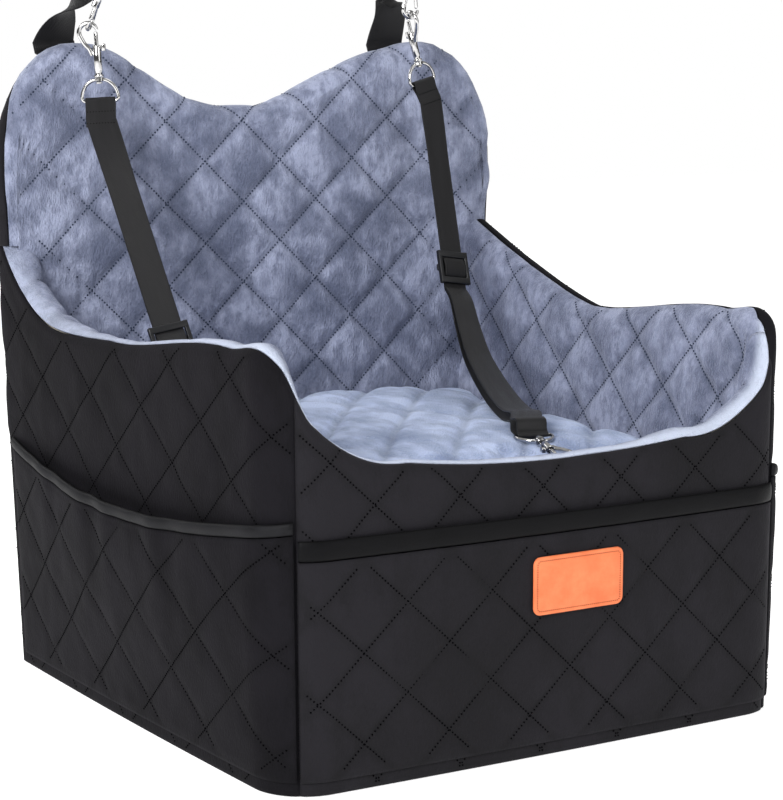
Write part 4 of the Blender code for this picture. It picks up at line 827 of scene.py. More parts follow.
TETHERS = {
    "left": {
        "snap_origin": (-0.17525, 0.1710, 0.5035), "snap_axis": (-0.06, 0.0, 1.0),
        "eye_side": (0.85, -0.527, 0.0), "hook_side": (0.85, -0.527, 0.0),
        "run_side": (0.98, -0.17, 0.10), "slider": (-0.15625, 0.0800, 0.2900),
        "lower": [(-0.15475, 0.0660, 0.2620), (-0.15375, 0.0440, 0.2440), (-0.15325, 0.0050, 0.2335),
                  (-0.15275, -0.0450, 0.2315), (-0.15175, -0.0850, 0.2340)],
        "low_bar": (-0.15125, -0.1340, 0.2269), "low_axis": (0.10, -0.99, -0.07),
        "low_side": (0.99, 0.10, 0.0), "low_hook": (-0.99, -0.10, 0.0), "arch": 0.005,
    },
    "right": {
        "snap_origin": (0.14275, 0.1780, 0.5155), "snap_axis": (-0.245, 0.05, 0.97),
        "eye_side": (0.985, 0.174, 0.0), "hook_side": (0.0, 1.0, 0.0),
        "run_side": (0.985, 0.174, -0.09), "slider": (0.14075, 0.1155, 0.3327),
        "lower": [(0.13675, 0.0947, 0.3062), (0.12875, 0.0698, 0.2825), (0.11775, 0.0376, 0.2605),
                  (0.09875, -0.0178, 0.2409), (0.07675, -0.0740, 0.2325), (0.06175, -0.1100, 0.2345)],
        "low_bar": (0.04375, -0.1460, 0.2269), "low_axis": (-0.30, -0.95, -0.09),
        "low_side": (0.954, -0.30, 0.0), "low_hook": (-0.954, 0.30, 0.0), "arch": 0.011,
    },
}
HEADRESTS = {
    "left": {
        "up": (0.36, -0.10, 0.93), "hook_side": (-0.527, -0.85, 0.0), "eye_side": (0.85, -0.527, 0.0),
        "base_x": -0.17025, "path": [(-0.18125, 0.2290, 0.5500), (-0.17225, 0.2110, 0.5740)],
    },
    "right": {
        "up": (-0.10, 0.0, 0.99), "hook_side": (1.0, 0.0, 0.0), "eye_side": (0.985, 0.174, 0.0),
        "base_x": 0.13575, "path": [(0.14525, 0.2300, 0.5540), (0.13775, 0.2110, 0.5800)],
    },
}

EYE_BAR = -0.0205
EYE_TOP = -0.0026
EYE_HALF = 0.0150
EYE_SHARES = [(0.86, 0.0), (1.0, 0.12), (0.97, 0.38), (0.80, 0.68), (0.45, 0.93)]
EYE_FLAT_SHARE = 0.6
WIRE_RADIUS = 0.0015
WIRE_STEP = 0.0013
BOSS_RADIUS = 0.0042
BOSS_TOP = -0.0009
BOSS_FOOT = -0.0043
BOSS_BORE = 0.0020
BOSS_EDGE = 0.0005
BARREL_RADIUS = 0.0034
BARREL_TOP = 0.0255
BORE_RADIUS = 0.0021
SLOT_HALF = 0.0012
SLOT_FOOT = 0.0132
HOOK_RADIUS = 0.0019
HOOK_ROOT = [(-0.0040, 0.0172), (-0.0050, 0.0198), (-0.0064, 0.0228), (-0.0100, 0.0270)]
HOOK_STEP = 0.0016
HOOK_TURNS = [math.radians(degrees) for degrees in range(196, 0, -14)]
HOOK_TIP_SHARE = 0.1
HOOK_TIP_THINNING = 0.35
CROWN_OFFSET = -0.0062
CROWN_CENTRE = 0.0362
CROWN_RADIUS = 0.0076
HOOK_PLAY = 0.0009
POST_HALF = 0.0008
POST_END = 0.0048
KNOB_LIFT = 0.0235
KNOB_START = 0.0040
KNOB_END = 0.0072
KNOB_HALF = 0.0020
KNOB_RISE = 0.0030
KNOB_EDGE = 0.0007
CHROME_CREASE = math.radians(40)
BARREL_PROFILE = [
    (BORE_RADIUS, 0.0090), (BORE_RADIUS, BARREL_TOP - 0.0003), (BORE_RADIUS + 0.0003, BARREL_TOP),
    (BARREL_RADIUS - 0.0004, BARREL_TOP), (BARREL_RADIUS, BARREL_TOP - 0.0005),
    (BARREL_RADIUS, 0.0050), (BARREL_RADIUS - 0.0003, 0.0043), (0.0030, 0.0036), (0.0028, 0.0026),
    (0.0030, 0.0014), (0.0040, 0.0012), (BOSS_RADIUS, 0.0006), (BOSS_RADIUS, 0.0), (0.0039, -0.0006),
    (BARREL_RADIUS / 2 - 0.0002, -0.0006), (BARREL_RADIUS / 2 - 0.0002, -0.0047),
    (0.0027, -0.0047), (0.0030, -0.0051), (0.0029, -0.0058), (0.0022, -0.0062),
]
ROD_PROFILE = [(0.0016, 0.0190), (0.0016, 0.0354), (0.0014, 0.0361), (0.00096, 0.0366)]


def square_to(axis, way):
    """Unit direction square to a unit axis, as near to a way as that allows."""
    return (way - axis * way.dot(axis)).normalized()


def placing(origin, axis, side):
    """Placement with its Z along the axis and its X towards the side."""
    up = Vector(axis).normalized()
    right = square_to(up, Vector(side))
    turned = Matrix((right, up.cross(right), up)).transposed().to_4x4()
    return Matrix.Translation(Vector(origin)) @ turned


def sweep_sections(path, section, sides, closed=False, widths=None):
    """Sections (across, out) carried along a path; sides gives the across direction."""
    found = []
    count = len(path)
    for k in range(count):
        before = path[k - 1] if closed or k else path[k]
        after = path[(k + 1) % count] if closed or k < count - 1 else path[k]
        along = (after - before).normalized()
        side = square_to(along, sides[k] if isinstance(sides, list) else sides)
        out = along.cross(side)
        scale = widths[k] if widths else 1
        found.append([path[k] + side * across * scale + out * lift for across, lift in section])
    return found


def round_section(radius, sides=14):
    """Points round a circle, for sweeps."""
    turns = [2 * math.pi * (k + 0.5) / sides for k in range(sides)]
    return [(radius * math.cos(turn), radius * math.sin(turn)) for turn in turns]


def lathe(name, profile, sides=24, tube=False):
    """Solid of revolution about Z, with flat ends unless it is a tube."""
    turns = [2 * math.pi * k / sides for k in range(sides)]
    sections = [[(radius * math.cos(turn), radius * math.sin(turn), height) for turn in turns]
                for radius, height in profile]
    return loft(name, sections, tube)


def block(name, low, high, edge=0.0):
    """Rectangular block between two corners, with its edges rounded."""
    shape = bmesh.new()
    bmesh.ops.create_cube(shape, size=1.0)
    for vert in shape.verts:
        vert.co = [low[k] + (high[k] - low[k]) * (vert.co[k] + 0.5) for k in range(3)]
    if edge:
        bmesh.ops.bevel(shape, geom=list(shape.edges), offset=edge, segments=3, profile=0.5,
                        affect="EDGES")
    return mesh_from(shape, name)


def combine(name, base, tools):
    """Join meshes to a base or cut them from it, and return the evaluated result."""
    body = helper_from(name + "_base", base)
    helpers = [body]
    for operation, mesh in tools:
        tool = helper_from(name + "_tool", mesh)
        helpers.append(tool)
        modifier = body.modifiers.new("Combine", "BOOLEAN")
        modifier.operation = operation
        modifier.solver = "EXACT"
        modifier.object = tool
    made = evaluated(body, name)
    for helper in helpers:
        bpy.data.objects.remove(helper, do_unlink=True)
    return made


def smooth_path(points, step):
    """Rounded path through the points, with a point about every step."""
    padded = [points[0] * 2 - points[1]] + points + [points[-1] * 2 - points[-2]]
    found = [points[0]]
    for k in range(1, len(padded) - 2):
        before, start, end, after = padded[k - 1:k + 3]
        count = max(1, round((end - start).length / step))
        for m in range(1, count + 1):
            t = m / count
            found.append((start * 2 + (end - before) * t
                          + (before * 2 - start * 5 + end * 4 - after) * t * t
                          + (start * 3 - before - end * 3 + after) * t * t * t) / 2)
    return found


def eye_mesh():
    """D-shaped wire ring with a bored boss for the stem."""
    rise = EYE_TOP - EYE_BAR
    right = [Vector((across * EYE_HALF, 0, EYE_BAR + up * rise)) for across, up in EYE_SHARES]
    left = [Vector((-point.x, 0, point.z)) for point in reversed(right)]
    start = Vector((EYE_HALF * EYE_FLAT_SHARE, 0, EYE_BAR))
    bend = [start] + right + [Vector((0, 0, EYE_TOP))] + left + [Vector((-start.x, 0, EYE_BAR))]
    path = smooth_path(bend, WIRE_STEP)
    ring = loft("eye", sweep_sections(path, round_section(WIRE_RADIUS), Vector((0, 1, 0)), True), True)
    flat = BOSS_RADIUS - BOSS_EDGE
    boss = lathe("boss", [(BOSS_BORE, BOSS_FOOT), (flat, BOSS_FOOT), (BOSS_RADIUS, BOSS_FOOT + BOSS_EDGE),
                          (BOSS_RADIUS, BOSS_TOP - BOSS_EDGE), (flat, BOSS_TOP), (BOSS_BORE, BOSS_TOP)],
                 tube=True)
    bore = lathe("bore", [(BOSS_BORE, BOSS_FOOT - GAP), (BOSS_BORE, BOSS_TOP + GAP)])
    return combine("snap_eye", ring, [("DIFFERENCE", bore), ("UNION", boss)])


def hook_mesh():
    """Stem, flange, bored and slotted barrel, and the hook wire that grows from its side."""
    barrel = lathe("barrel", BARREL_PROFILE)
    crown = [Vector((across, 0, height)) for across, height in HOOK_ROOT]
    for turn in HOOK_TURNS:
        crown.append(Vector((CROWN_OFFSET + CROWN_RADIUS * math.cos(turn), 0,
                             CROWN_CENTRE + CROWN_RADIUS * math.sin(turn))))
    path = smooth_path(crown, HOOK_STEP)
    last = len(path) - 1
    sections = []
    for k, ring in enumerate(sweep_sections(path, round_section(HOOK_RADIUS), Vector((0, 1, 0)))):
        thick = 1 - HOOK_TIP_THINNING * float(ease((k / last - 1 + HOOK_TIP_SHARE) / HOOK_TIP_SHARE))
        sections.append([path[k] + (point - path[k]) * thick for point in ring])
    slot = block("slot", (0, -SLOT_HALF, SLOT_FOOT), (2 * BARREL_RADIUS, SLOT_HALF, BARREL_TOP + GAP))
    return combine("snap_hook", barrel, [("UNION", loft("wire", sections)), ("DIFFERENCE", slot)])


def bolt_mesh():
    """Sliding bolt that closes the hook, with its thumb knob."""
    rod = lathe("rod", ROD_PROFILE, 16)
    post = block("post", (0, -POST_HALF, KNOB_LIFT - POST_HALF),
                 (POST_END, POST_HALF, KNOB_LIFT + POST_HALF))
    knob = block("knob", (KNOB_START, -KNOB_HALF, KNOB_LIFT - KNOB_RISE),
                 (KNOB_END, KNOB_HALF, KNOB_LIFT + KNOB_RISE), KNOB_EDGE)
    return combine("snap_bolt", rod, [("UNION", post), ("UNION", knob)])


SNAP_MESHES = {"eye": eye_mesh(), "hook": hook_mesh(), "bolt": bolt_mesh()}


def make_snap(name, origin, axis, eye_side, hook_side):
    """Eye, hook and bolt of one snap, each on the body that it moves with."""
    found = []
    for part, mesh in SNAP_MESHES.items():
        own = mesh.copy()
        own.transform(placing(origin, axis, eye_side if part == "eye" else hook_side))
        node = name + "_" + part
        body = "seat" if part == "eye" else name.replace("_snap", "_" + part)
        piece = piece_from(node + "_chrome", own, CHROME, CHROME_CREASE)
        found.append(settle(piece, [node], body))
    return found


def strap_section():
    """Flat webbing with rounded edges and thin selvedges, as shares across and lifts."""
    top = []
    for share in STRAP_EDGE:
        near = (0.5 - abs(share)) / ROUND_EDGE_SHARE
        round_edge = math.sqrt(max(1 - (1 - min(near, 1.0)) ** 2, 0.0))
        dent = math.exp(-((abs(share) - SELVEDGE_PLACE_SHARE) / SELVEDGE_HALF_SHARE) ** 2)
        thick = THIN_EDGE_SHARE + (1 - THIN_EDGE_SHARE) * round_edge
        top.append((share * WEBBING_WIDTH, WEBBING_SKIN / 2 * thick * (1 - SELVEDGE_DEPTH_SHARE * dent)))
    return top + [(across, -lift) for across, lift in reversed(top)]


def strap_mesh(name, path, sides, widths=None):
    """Webbing carried along a path, with a map in metres across and along it."""
    section = strap_section()
    rings = np.array([[list(point) for point in ring]
                      for ring in sweep_sections(path, section, sides, False, widths)])
    count, around = rings.shape[:2]
    steps = np.linalg.norm(np.diff(np.array([list(point) for point in path]), axis=0), axis=1)
    along = np.concatenate([[0], np.cumsum(steps)])
    faces = []
    for k in range(count - 1):
        for m in range(around):
            n = (m + 1) % around
            faces.append((k * around + m, k * around + n, (k + 1) * around + n, (k + 1) * around + m))
    faces.append(tuple(range(around)))
    faces.append(tuple(reversed(range((count - 1) * around, count * around))))
    mesh = bpy.data.meshes.new(name)
    mesh.from_pydata(rings.reshape(-1, 3).tolist(), [], faces)
    layer = mesh.uv_layers.new(name="cloth")
    for loop in mesh.loops:
        ring, place = divmod(loop.vertex_index, around)
        layer.data[loop.index].uv = (section[place][0], float(along[ring]))
    return turn_out(mesh), float(along[-1])


def loop_points(centre, out, away, turns):
    """Points round a ring's bar: turn 0 faces out, a quarter turn faces away from the strap."""
    return [centre + (out * math.cos(turn) + away * math.sin(turn)) * LOOP_RADIUS for turn in turns]


def offset_path(path, sides, lift):
    """The path moved out of the webbing's face by a lift for each point."""
    found = []
    for k, point in enumerate(path):
        along = (path[min(k + 1, len(path) - 1)] - path[max(k - 1, 0)]).normalized()
        found.append(point + along.cross(square_to(along, sides[k])) * lift[k])
    return found


def blend(first, second, share):
    """Direction between two directions."""
    return first.lerp(second, float(ease(share))).normalized()


def facing(towards, across):
    """Unit directions along and out of a strap that crosses a bar squarely."""
    along = square_to(across, towards)
    return along, along.cross(across)


def eye_loop(bar, along, out):
    """Sewn tail, turn round the bar and first stretch of a strap."""
    reaches = np.linspace(TAIL_LENGTH, LOOP_NECK, TAIL_STEPS)
    tail = [bar + along * float(reach) - out * LAYER_LIFT for reach in reaches]
    lead = [bar + along * LOOP_NECK + out * LAYER_LIFT]
    return tail + loop_points(bar, out, -along, LOOP_TURNS) + lead


def sewn_rows(bar, along, across, out, thread_name):
    """Rows of thread across a strap where its tail is sewn down."""
    rows = []
    lift = LAYER_LIFT + WEBBING_SKIN / 2
    for reach in SEWN_REACHES:
        row = np.array([list(bar + along * reach + out * lift + across * float(share) * WEBBING_WIDTH)
                        for share in SEWN_SHARES])
        rows.append((row, np.repeat([list(out)], len(row), axis=0)))
    return stitches(thread_name, rows, BLACK_THREAD_AND_DENT_SHADE, "webbing", *SEWN_THREAD)


def make_tether(side, spec):
    """Tether webbing, its return layer, the slider and the two snaps at its ends."""
    origin = Vector(spec["snap_origin"])
    axis = Vector(spec["snap_axis"]).normalized()
    upper = make_snap(side + "_tether_snap", origin, axis, spec["eye_side"], spec["hook_side"])
    bar = origin + axis * EYE_BAR
    across = placing(origin, axis, spec["eye_side"]).col[0].to_3d()
    slider = Vector(spec["slider"])
    along, out = facing(slider - bar, across)
    head = eye_loop(bar, along, out)
    start = bar + along * (LOOP_NECK * 2) + out * LAYER_LIFT
    reach = (slider - start).length
    run = (slider - start) / reach
    shares = [float(share) for share in np.linspace(0, 1, round(reach / STRAP_STEP))]
    runs = [start + (slider - start) * share for share in shares]
    run_side = square_to(run, Vector(spec["run_side"]))
    run_sides = [blend(across, run_side, share * reach / TWIST_LENGTH) for share in shares]

    low_bar = Vector(spec["low_bar"])
    low_axis = Vector(spec["low_axis"]).normalized()
    lower_snap = make_snap(side + "_harness_snap", low_bar - low_axis * EYE_BAR, low_axis,
                           spec["low_side"], spec["low_hook"])
    low_across = placing(low_bar, low_axis, spec["low_side"]).col[0].to_3d()
    up = low_axis.cross(low_across)
    up = up if up.z > 0 else -up
    below = slider + run * SLIDER_LENGTH * SLIDER_LEAD
    arch = spec["arch"]
    neck = low_bar - low_axis * LOOP_NECK
    fold = [low_bar - low_axis * reach + up * (LAYER_LIFT + arch * rise) for reach, rise in ARCH_FOLD]
    lifts = np.linspace(0, arch * ARCH_LEAD, len(spec["lower"]))
    raised = [Vector(point) + up * float(lift) for point, lift in zip(spec["lower"], lifts)]
    lower = smooth_path([below] + raised + fold, STRAP_STEP)
    total = len(lower) - 1
    lower_sides = [blend(run_side, low_across, k / total * LOWER_TWIST) for k in range(total + 1)]
    end = loop_points(low_bar, up, low_axis, LOW_END_TURNS)
    path = head + runs + lower + end
    mesh, length = strap_mesh(side + "_tether_strap", path,
                              [across] * len(head) + run_sides + lower_sides + [low_across] * len(end))
    strap = settle(piece_from(side + "_tether_strap_webbing", mesh, WEBBING),
                   [side + "_tether_strap"])
    sewn = sewn_rows(bar, along, across, out, side + "_tether_strap_sewing")

    straight = smooth_path([below] + [Vector(point) for point in spec["lower"]]
                           + [low_bar - low_axis * LOOP_NECK * 2 + up * LAYER_LIFT], STRAP_STEP)
    last = len(straight) - 1
    sag = [-(2 * LAYER_LIFT + RETURN_SAG * math.sin(math.pi * k / last)) for k in range(last + 1)]
    under_sides = [blend(run_side, low_across, k / last * LOWER_TWIST) for k in range(last + 1)]
    under = offset_path(straight, under_sides, sag)
    first = slider + run * (SLIDER_BAR / 2 + GAP) - run.cross(run_side) * 2 * LAYER_LIFT
    turned = list(reversed(loop_points(low_bar, up, low_axis, RETURN_TURNS)))
    wrap = [neck - up * LAYER_LIFT] + turned
    under_path = [first] + under + wrap
    mesh, under_length = strap_mesh(side + "_tether_return", under_path,
                                    [run_side] + under_sides + [low_across] * len(wrap))
    under_strap = settle(piece_from(side + "_tether_return_webbing", mesh, WEBBING),
                         [side + "_tether_return"])
    slide = make_slider(side + "_tether_slider", slider, run, run_side)


def make_slider(name, centre, along, side):
    """Three-bar slider with the webbing's fold over its middle bar."""
    near = WEBBING_SKIN / 2 + GAP
    far = near + SLIDER_BAR_SKIN
    leg = WEBBING_WIDTH / 2 + SLIDER_SIDE_PLAY
    wide = leg + SLIDER_LEG
    long = SLIDER_LENGTH / 2
    bar = SLIDER_BAR / 2
    boxes = [((-wide + GAP, near, -long + GAP), (wide - GAP, far, -long + SLIDER_BAR), SLIDER_EDGE),
             ((leg, -near - GAP, -long), (wide, far - GAP, long), SLIDER_EDGE),
             ((-wide, -near - GAP, -long), (-leg, far - GAP, long), SLIDER_EDGE),
             ((-wide + GAP, near, long - SLIDER_BAR), (wide - GAP, far, long - GAP), SLIDER_EDGE),
             ((-wide + GAP, -far, -bar), (wide - GAP, -near, bar), SLIDER_EDGE * 0.7)]
    parts = [block("bar", *box) for box in boxes]
    mesh = combine(name, parts[0], [("UNION", part) for part in parts[1:]])
    place = placing(centre, along, side)
    mesh.transform(place)
    piece = settle(piece_from(name + "_plastic", mesh, PLASTIC, SLIDER_CREASE),
                   [name], name)
    fold_path = []
    for k in range(FOLD_STEPS + 1):
        turn = math.pi * k / FOLD_STEPS
        fold_path.append(place @ Vector((0, FOLD_RISE * math.sin(turn) + near, FOLD_REACH * math.cos(turn))))
    across = place.to_3x3().col[0]
    fold, _ = strap_mesh(name + "_fold", fold_path, across, [FOLD_WIDTH_SHARE] * len(fold_path))
    fold_piece = piece_from(name + "_fold", fold, WEBBING)
    settle(fold_piece, (), name)
    return piece


def roll_surface(x, turn, lift):
    """Point over the rolled edge of the backrest, and the direction straight out of it."""
    top, out_x, out_z = (float(value[0]) for value in outline(np.array([x])))
    reach = (ROLL_RADIUS + lift) * math.sin(turn)
    y = HALF_DEPTH - ROLL_RADIUS - (ROLL_RADIUS + lift) * math.cos(turn)
    point = Vector(warp(x + out_x * reach, y, top + out_z * reach))
    return point, Vector((out_x * math.sin(turn), -math.cos(turn), out_z * math.sin(turn)))


def make_headrest_strap(side, spec):
    """Strap sewn into the ear's seam, drawn together to the width of the upper snap's ring."""
    tether = TETHERS[side]
    lower_axis = Vector(tether["snap_axis"]).normalized()
    hook_side = square_to(lower_axis, Vector(tether["hook_side"]))
    crown = Vector(tether["snap_origin"]) + hook_side * CROWN_OFFSET
    crown += lower_axis * (CROWN_CENTRE + CROWN_RADIUS - 2 * HOOK_RADIUS - HOOK_PLAY)
    up = Vector(spec["up"]).normalized()
    turned = square_to(up, Vector(spec["hook_side"]))
    origin = crown + up * (CROWN_CENTRE + CROWN_RADIUS) - turned * CROWN_OFFSET
    make_snap(side + "_headrest_snap", origin, -up, spec["eye_side"], turned)
    bar = origin - up * EYE_BAR
    eye_side = placing(origin, -up, spec["eye_side"]).col[0].to_3d()
    foot, outward = roll_surface(spec["base_x"], TOP_SEAM_TURN, 2 * GAP)
    points = [foot, foot + outward * HEADREST_LEAD] + [Vector(point) for point in spec["path"]]
    along, out = facing(points[-1] - bar, eye_side)
    head = eye_loop(bar, along, out)
    leave = bar + along * (LOOP_NECK * 2) + out * LAYER_LIFT
    rest = smooth_path([leave] + list(reversed(points)), STRAP_STEP)
    base_side = Vector((0, -1, 0)).cross(outward).normalized()
    total = len(rest) - 1
    sides = [eye_side] * len(head) + [blend(eye_side, base_side, k / total) for k in range(total + 1)]
    wider = HEADREST_STRAP_WIDTH / WEBBING_WIDTH - 1
    widths = [1.0] * len(head)
    for k in range(total + 1):
        widths.append(1 + wider * float(ease((k / total - TAPER_START_SHARE) / TAPER_SHARE)))
    mesh, length = strap_mesh(side + "_headrest_strap", head + rest, sides, widths)
    piece = settle(piece_from(side + "_headrest_strap_webbing", mesh, WEBBING),
                   [side + "_headrest_strap"])
    sewn_rows(bar, along, eye_side, out, side + "_headrest_strap_sewing")


for side_name, tether_spec in TETHERS.items():
    make_tether(side_name, tether_spec)
    make_headrest_strap(side_name, HEADRESTS[side_name])


# Walls: black cover outside, quilted liner inside and over the rounded top

CLOTH_STEP = 0.0024
COVER_STEP = 0.0030
CLOTH_SKIN = 0.0018
WALL_SWELL = 0.0016
WALL_SWELLS = ((0.055, WALL_SWELL), (0.018, WALL_SWELL * 0.35))
BACK_SWELLS = ((0.060, WALL_SWELL * 1.2), (0.020, WALL_SWELL * 0.4))
SWELL_EDGE_SHARE = 0.12
SWELL_EDGE = 0.03
TOP_PUFF_SHARE = 0.12
LINER_END_FADE = 0.030
COVER_END_FADE = 0.010
SIDE_QUILT_FOOT = 0.196
FRONT_QUILT_FOOT = 0.188
FREE_RISE = 0.014
TOP_FADE_FROM = 0.6
TOP_FADE_RUN = 1.6
EDGE_DIP = 0.0009
EDGE_RUN = 0.004
PANEL_GAP = 0.0001
LAST_STITCH_TURN = math.radians(66)
STITCH_END_GAP = 0.003
STITCH_FOOT_GAP = 0.002
STITCH_TOP_GAP = 0.004
TOP_SAMPLES = 50
SEAM_TURNS = [
    (SIDE_START + SIDE_RUN * 0.22, 148), (SIDE_START + SIDE_RUN * 0.46, 114),
    (SIDE_START + SIDE_RUN * 0.70, 118), (SIDE_END, 124), (SIDE_END + FRONT_ARC * 0.60, 124),
    (FRONT_START, 108), (FRONT_START + FRONT_RUN * 0.15, 112), (FRONT_START + FRONT_RUN * 0.60, 116),
    (FRONT_START + FRONT_RUN * 0.85, 138), (FRONT_END + FRONT_ARC * 0.35, 140),
    (FRONT_END + FRONT_ARC * 0.65, 76), (FAR_SIDE_START + SIDE_RUN * 0.5, 72),
]
# Painted highlight on the liner's rolled top: its strength along the path, stronger towards the front, and
# the turns over which it fades in
RIM_LIGHTS = [(SIDE_START, 0.15), (SIDE_START + SIDE_RUN * 0.5, 0.45), (SIDE_END, 0.80)]
RIM_FROM = math.radians(62)
RIM_RUN = math.radians(48)


def side_of(distance):
    """Y along a side, which its quilting follows, at a distance along the path."""
    run = np.minimum(distance, PATH_END - distance)
    return HALF_DEPTH - ROLL_RADIUS - (run - SIDE_START)


def front_of(distance):
    """X along the front, which its quilting follows, at a distance along the path."""
    return distance - FRONT_START - HALF_WIDTH + FRONT_CORNER_RADIUS


def marks_between(first, last, step):
    """Evenly spaced values about a step apart, and the two ends."""
    return np.linspace(first, last, max(2, round((last - first) / step) + 1))


def wall_cloth(name, first, last, foot, outside, quilt, amount, step, ends, spread_of, top_of, seed,
               flat_below=0.0):
    """One panel of cloth on the walls with its quilting and swells, and the surface for stitches."""
    columns = marks_between(first, last, step)
    tops = top_of(columns)
    rows = marks_between(0, 1, step / float(tops.max()))
    distance, share = np.meshgrid(columns, rows, indexing="ij")
    rise = share * top_of(distance)

    def free(rise):
        return ease((foot + rise - flat_below) / FREE_RISE) if flat_below else np.ones_like(rise)

    def lift_at(distance, rise):
        across, up = spread_of(distance), foot + rise
        at_end = np.minimum(distance - first, last - distance)
        over = ease((top_of(distance) - rise - ROLL_RADIUS * TOP_FADE_FROM) / (ROLL_RADIUS * TOP_FADE_RUN))
        quilted = amount * puff(across, up, quilt) * ease(at_end / ends) * free(rise)
        quilted = quilted * (TOP_PUFF_SHARE + (1 - TOP_PUFF_SHARE) * over)
        return quilted - EDGE_DIP * (1 - ease(at_end / EDGE_RUN))

    def place(distance, rise, lift):
        quilted = lift_at(distance, rise)
        base = wall_place(distance, rise, foot, outside, quilted)
        swell = swells(base, (seed, seed + 3), WALL_SWELLS)
        share = rise / top_of(distance)
        swell *= ease(np.minimum(share, 1 - share) / SWELL_EDGE_SHARE) * free(rise)
        swell *= ease(np.minimum(distance - first, last - distance) / SWELL_EDGE)
        return wall_place(distance, rise, foot, outside, quilted + swell + lift)

    front = place(distance, rise, 0.0)
    back = wall_place(distance, rise, foot, outside, 0.0, CLOTH_SKIN)
    # Crease marks, low on the stitched lines, where the finish paints shade
    marks = puff(spread_of(distance), foot + rise, quilt)
    over = (rise - (rim_height(distance) - ROLL_RADIUS - foot)) / ROLL_RADIUS
    # Painted highlight: paler over the rolled top of the liner, stronger towards the front corner; none on
    # the cover
    light = np.interp(np.minimum(distance, PATH_END - distance), *zip(*RIM_LIGHTS))
    rim = light * ease((over - RIM_FROM) / RIM_RUN) * (1 - outside)
    mesh = shell(name, front, back, spread_of(distance), rise, marks, rim)
    return mesh, place


def seam_turn(distance):
    """Turn over the wall's top at which the liner meets the cover."""
    return np.radians(np.interp(distance, [place for place, _ in SEAM_TURNS],
                                [turn for _, turn in SEAM_TURNS]))


def cloth_top(foot, outside):
    """Function for the length of a wall's cloth from its foot to the outer seam."""
    def length(distance):
        turn = seam_turn(distance)
        if outside:
            turn = math.pi - turn - SEAM_SPREAD
        return rim_height(distance) - ROLL_RADIUS - foot + ROLL_RADIUS * turn

    return length


LINER_FOOT = CUSHION_FLOOR_HEIGHT + GAP
LINER_START = SIDE_START + WALL_THICKNESS - ROLL_RADIUS + 2 * GAP


def make_liners():
    """Quilted liners of the two sides and the front."""
    half = PANEL_GAP / 2
    top = cloth_top(LINER_FOOT, False)
    panels = (
        ("left_liner", half, LEFT_MITRE - half, "side", side_of, 1),
        ("front_liner", LEFT_MITRE + half, RIGHT_MITRE - half, "front", front_of, 2),
        ("right_liner", RIGHT_MITRE + half, PATH_END - half, "side", side_of, 3),
    )
    for node, first, last, quilt, spread_of, seed in panels:
        mesh, place = wall_cloth(node, first, last, LINER_FOOT, False, quilt, LINER_PUFF, CLOTH_STEP,
                                 LINER_END_FADE, spread_of, top, seed)
        piece = settle(piece_from(node + "_velvet", mesh, LINER_VELVET), [node])
        shown_first = max(first, LINER_START)
        shown_last = min(last, PATH_END - LINER_START)
        wall_stitches(node + "_stitches", place, quilt, shown_first, shown_last, LINER_FOOT, top,
                      spread_of, BLUE_DENT_SHADE, "liner_velvet")


def wall_stitches(name, place, quilt, first, last, foot, top_of, spread_of, thread, slot,
                  width=STITCH_WIDTH):
    """Stitches along a wall panel's lines."""
    start, end = float(spread_of(first)), float(spread_of(last))

    def distance_of(across):
        return first + (across - start) / (end - start) * (last - first)

    def keep(across, up):
        distance = distance_of(across)
        rise = up - foot
        inside = (distance > first + STITCH_END_GAP) & (distance < last - STITCH_END_GAP)
        over_edge = rim_height(distance) - ROLL_RADIUS - foot + ROLL_RADIUS * LAST_STITCH_TURN
        highest = np.minimum(top_of(distance) - STITCH_TOP_GAP, over_edge)
        return inside & (rise > STITCH_FOOT_GAP) & (rise < highest)

    def placed(across, up, lift):
        return place(distance_of(across), up - foot, lift)

    highest = foot + float(np.max(top_of(np.linspace(first, last, TOP_SAMPLES))))
    rows = quilt_rows(placed, quilt, sorted((start, end)), (foot, highest), keep)
    stitches(name, rows, thread, slot, width=width)


def make_covers():
    """Black velvet outside of the two sides and the front."""
    half = PANEL_GAP / 2
    foot = COVER_FOOT
    top = cloth_top(foot, True)
    panels = (
        ("cover_left", half, LEFT_SEAM - half, "cover_side", side_of, 4, SIDE_QUILT_FOOT),
        ("cover_front", LEFT_SEAM + half, RIGHT_SEAM - half, "cover_front", front_of, 5, FRONT_QUILT_FOOT),
        ("cover_right", RIGHT_SEAM + half, PATH_END - half, "cover_side", side_of, 6, SIDE_QUILT_FOOT),
    )
    for node, first, last, quilt, spread_of, seed, flat_below in panels:
        mesh, place = wall_cloth(node, first, last, foot, True, quilt, COVER_PUFF, COVER_STEP,
                                 COVER_END_FADE, spread_of, top, seed, flat_below)
        # The sides take the darker copy of the velvet: painted shade
        finish = COVER_VELVET if node == "cover_front" else SHADED_SIDE_VELVET
        piece = settle(piece_from(node + "_velvet", mesh, finish), [node])
        wall_stitches(node + "_stitches", place, quilt, first, last, foot, top, spread_of,
                      BLACK_THREAD_AND_DENT_SHADE, "cover_velvet", COVER_STITCH_WIDTH)


make_liners()
make_covers()


# Backrest

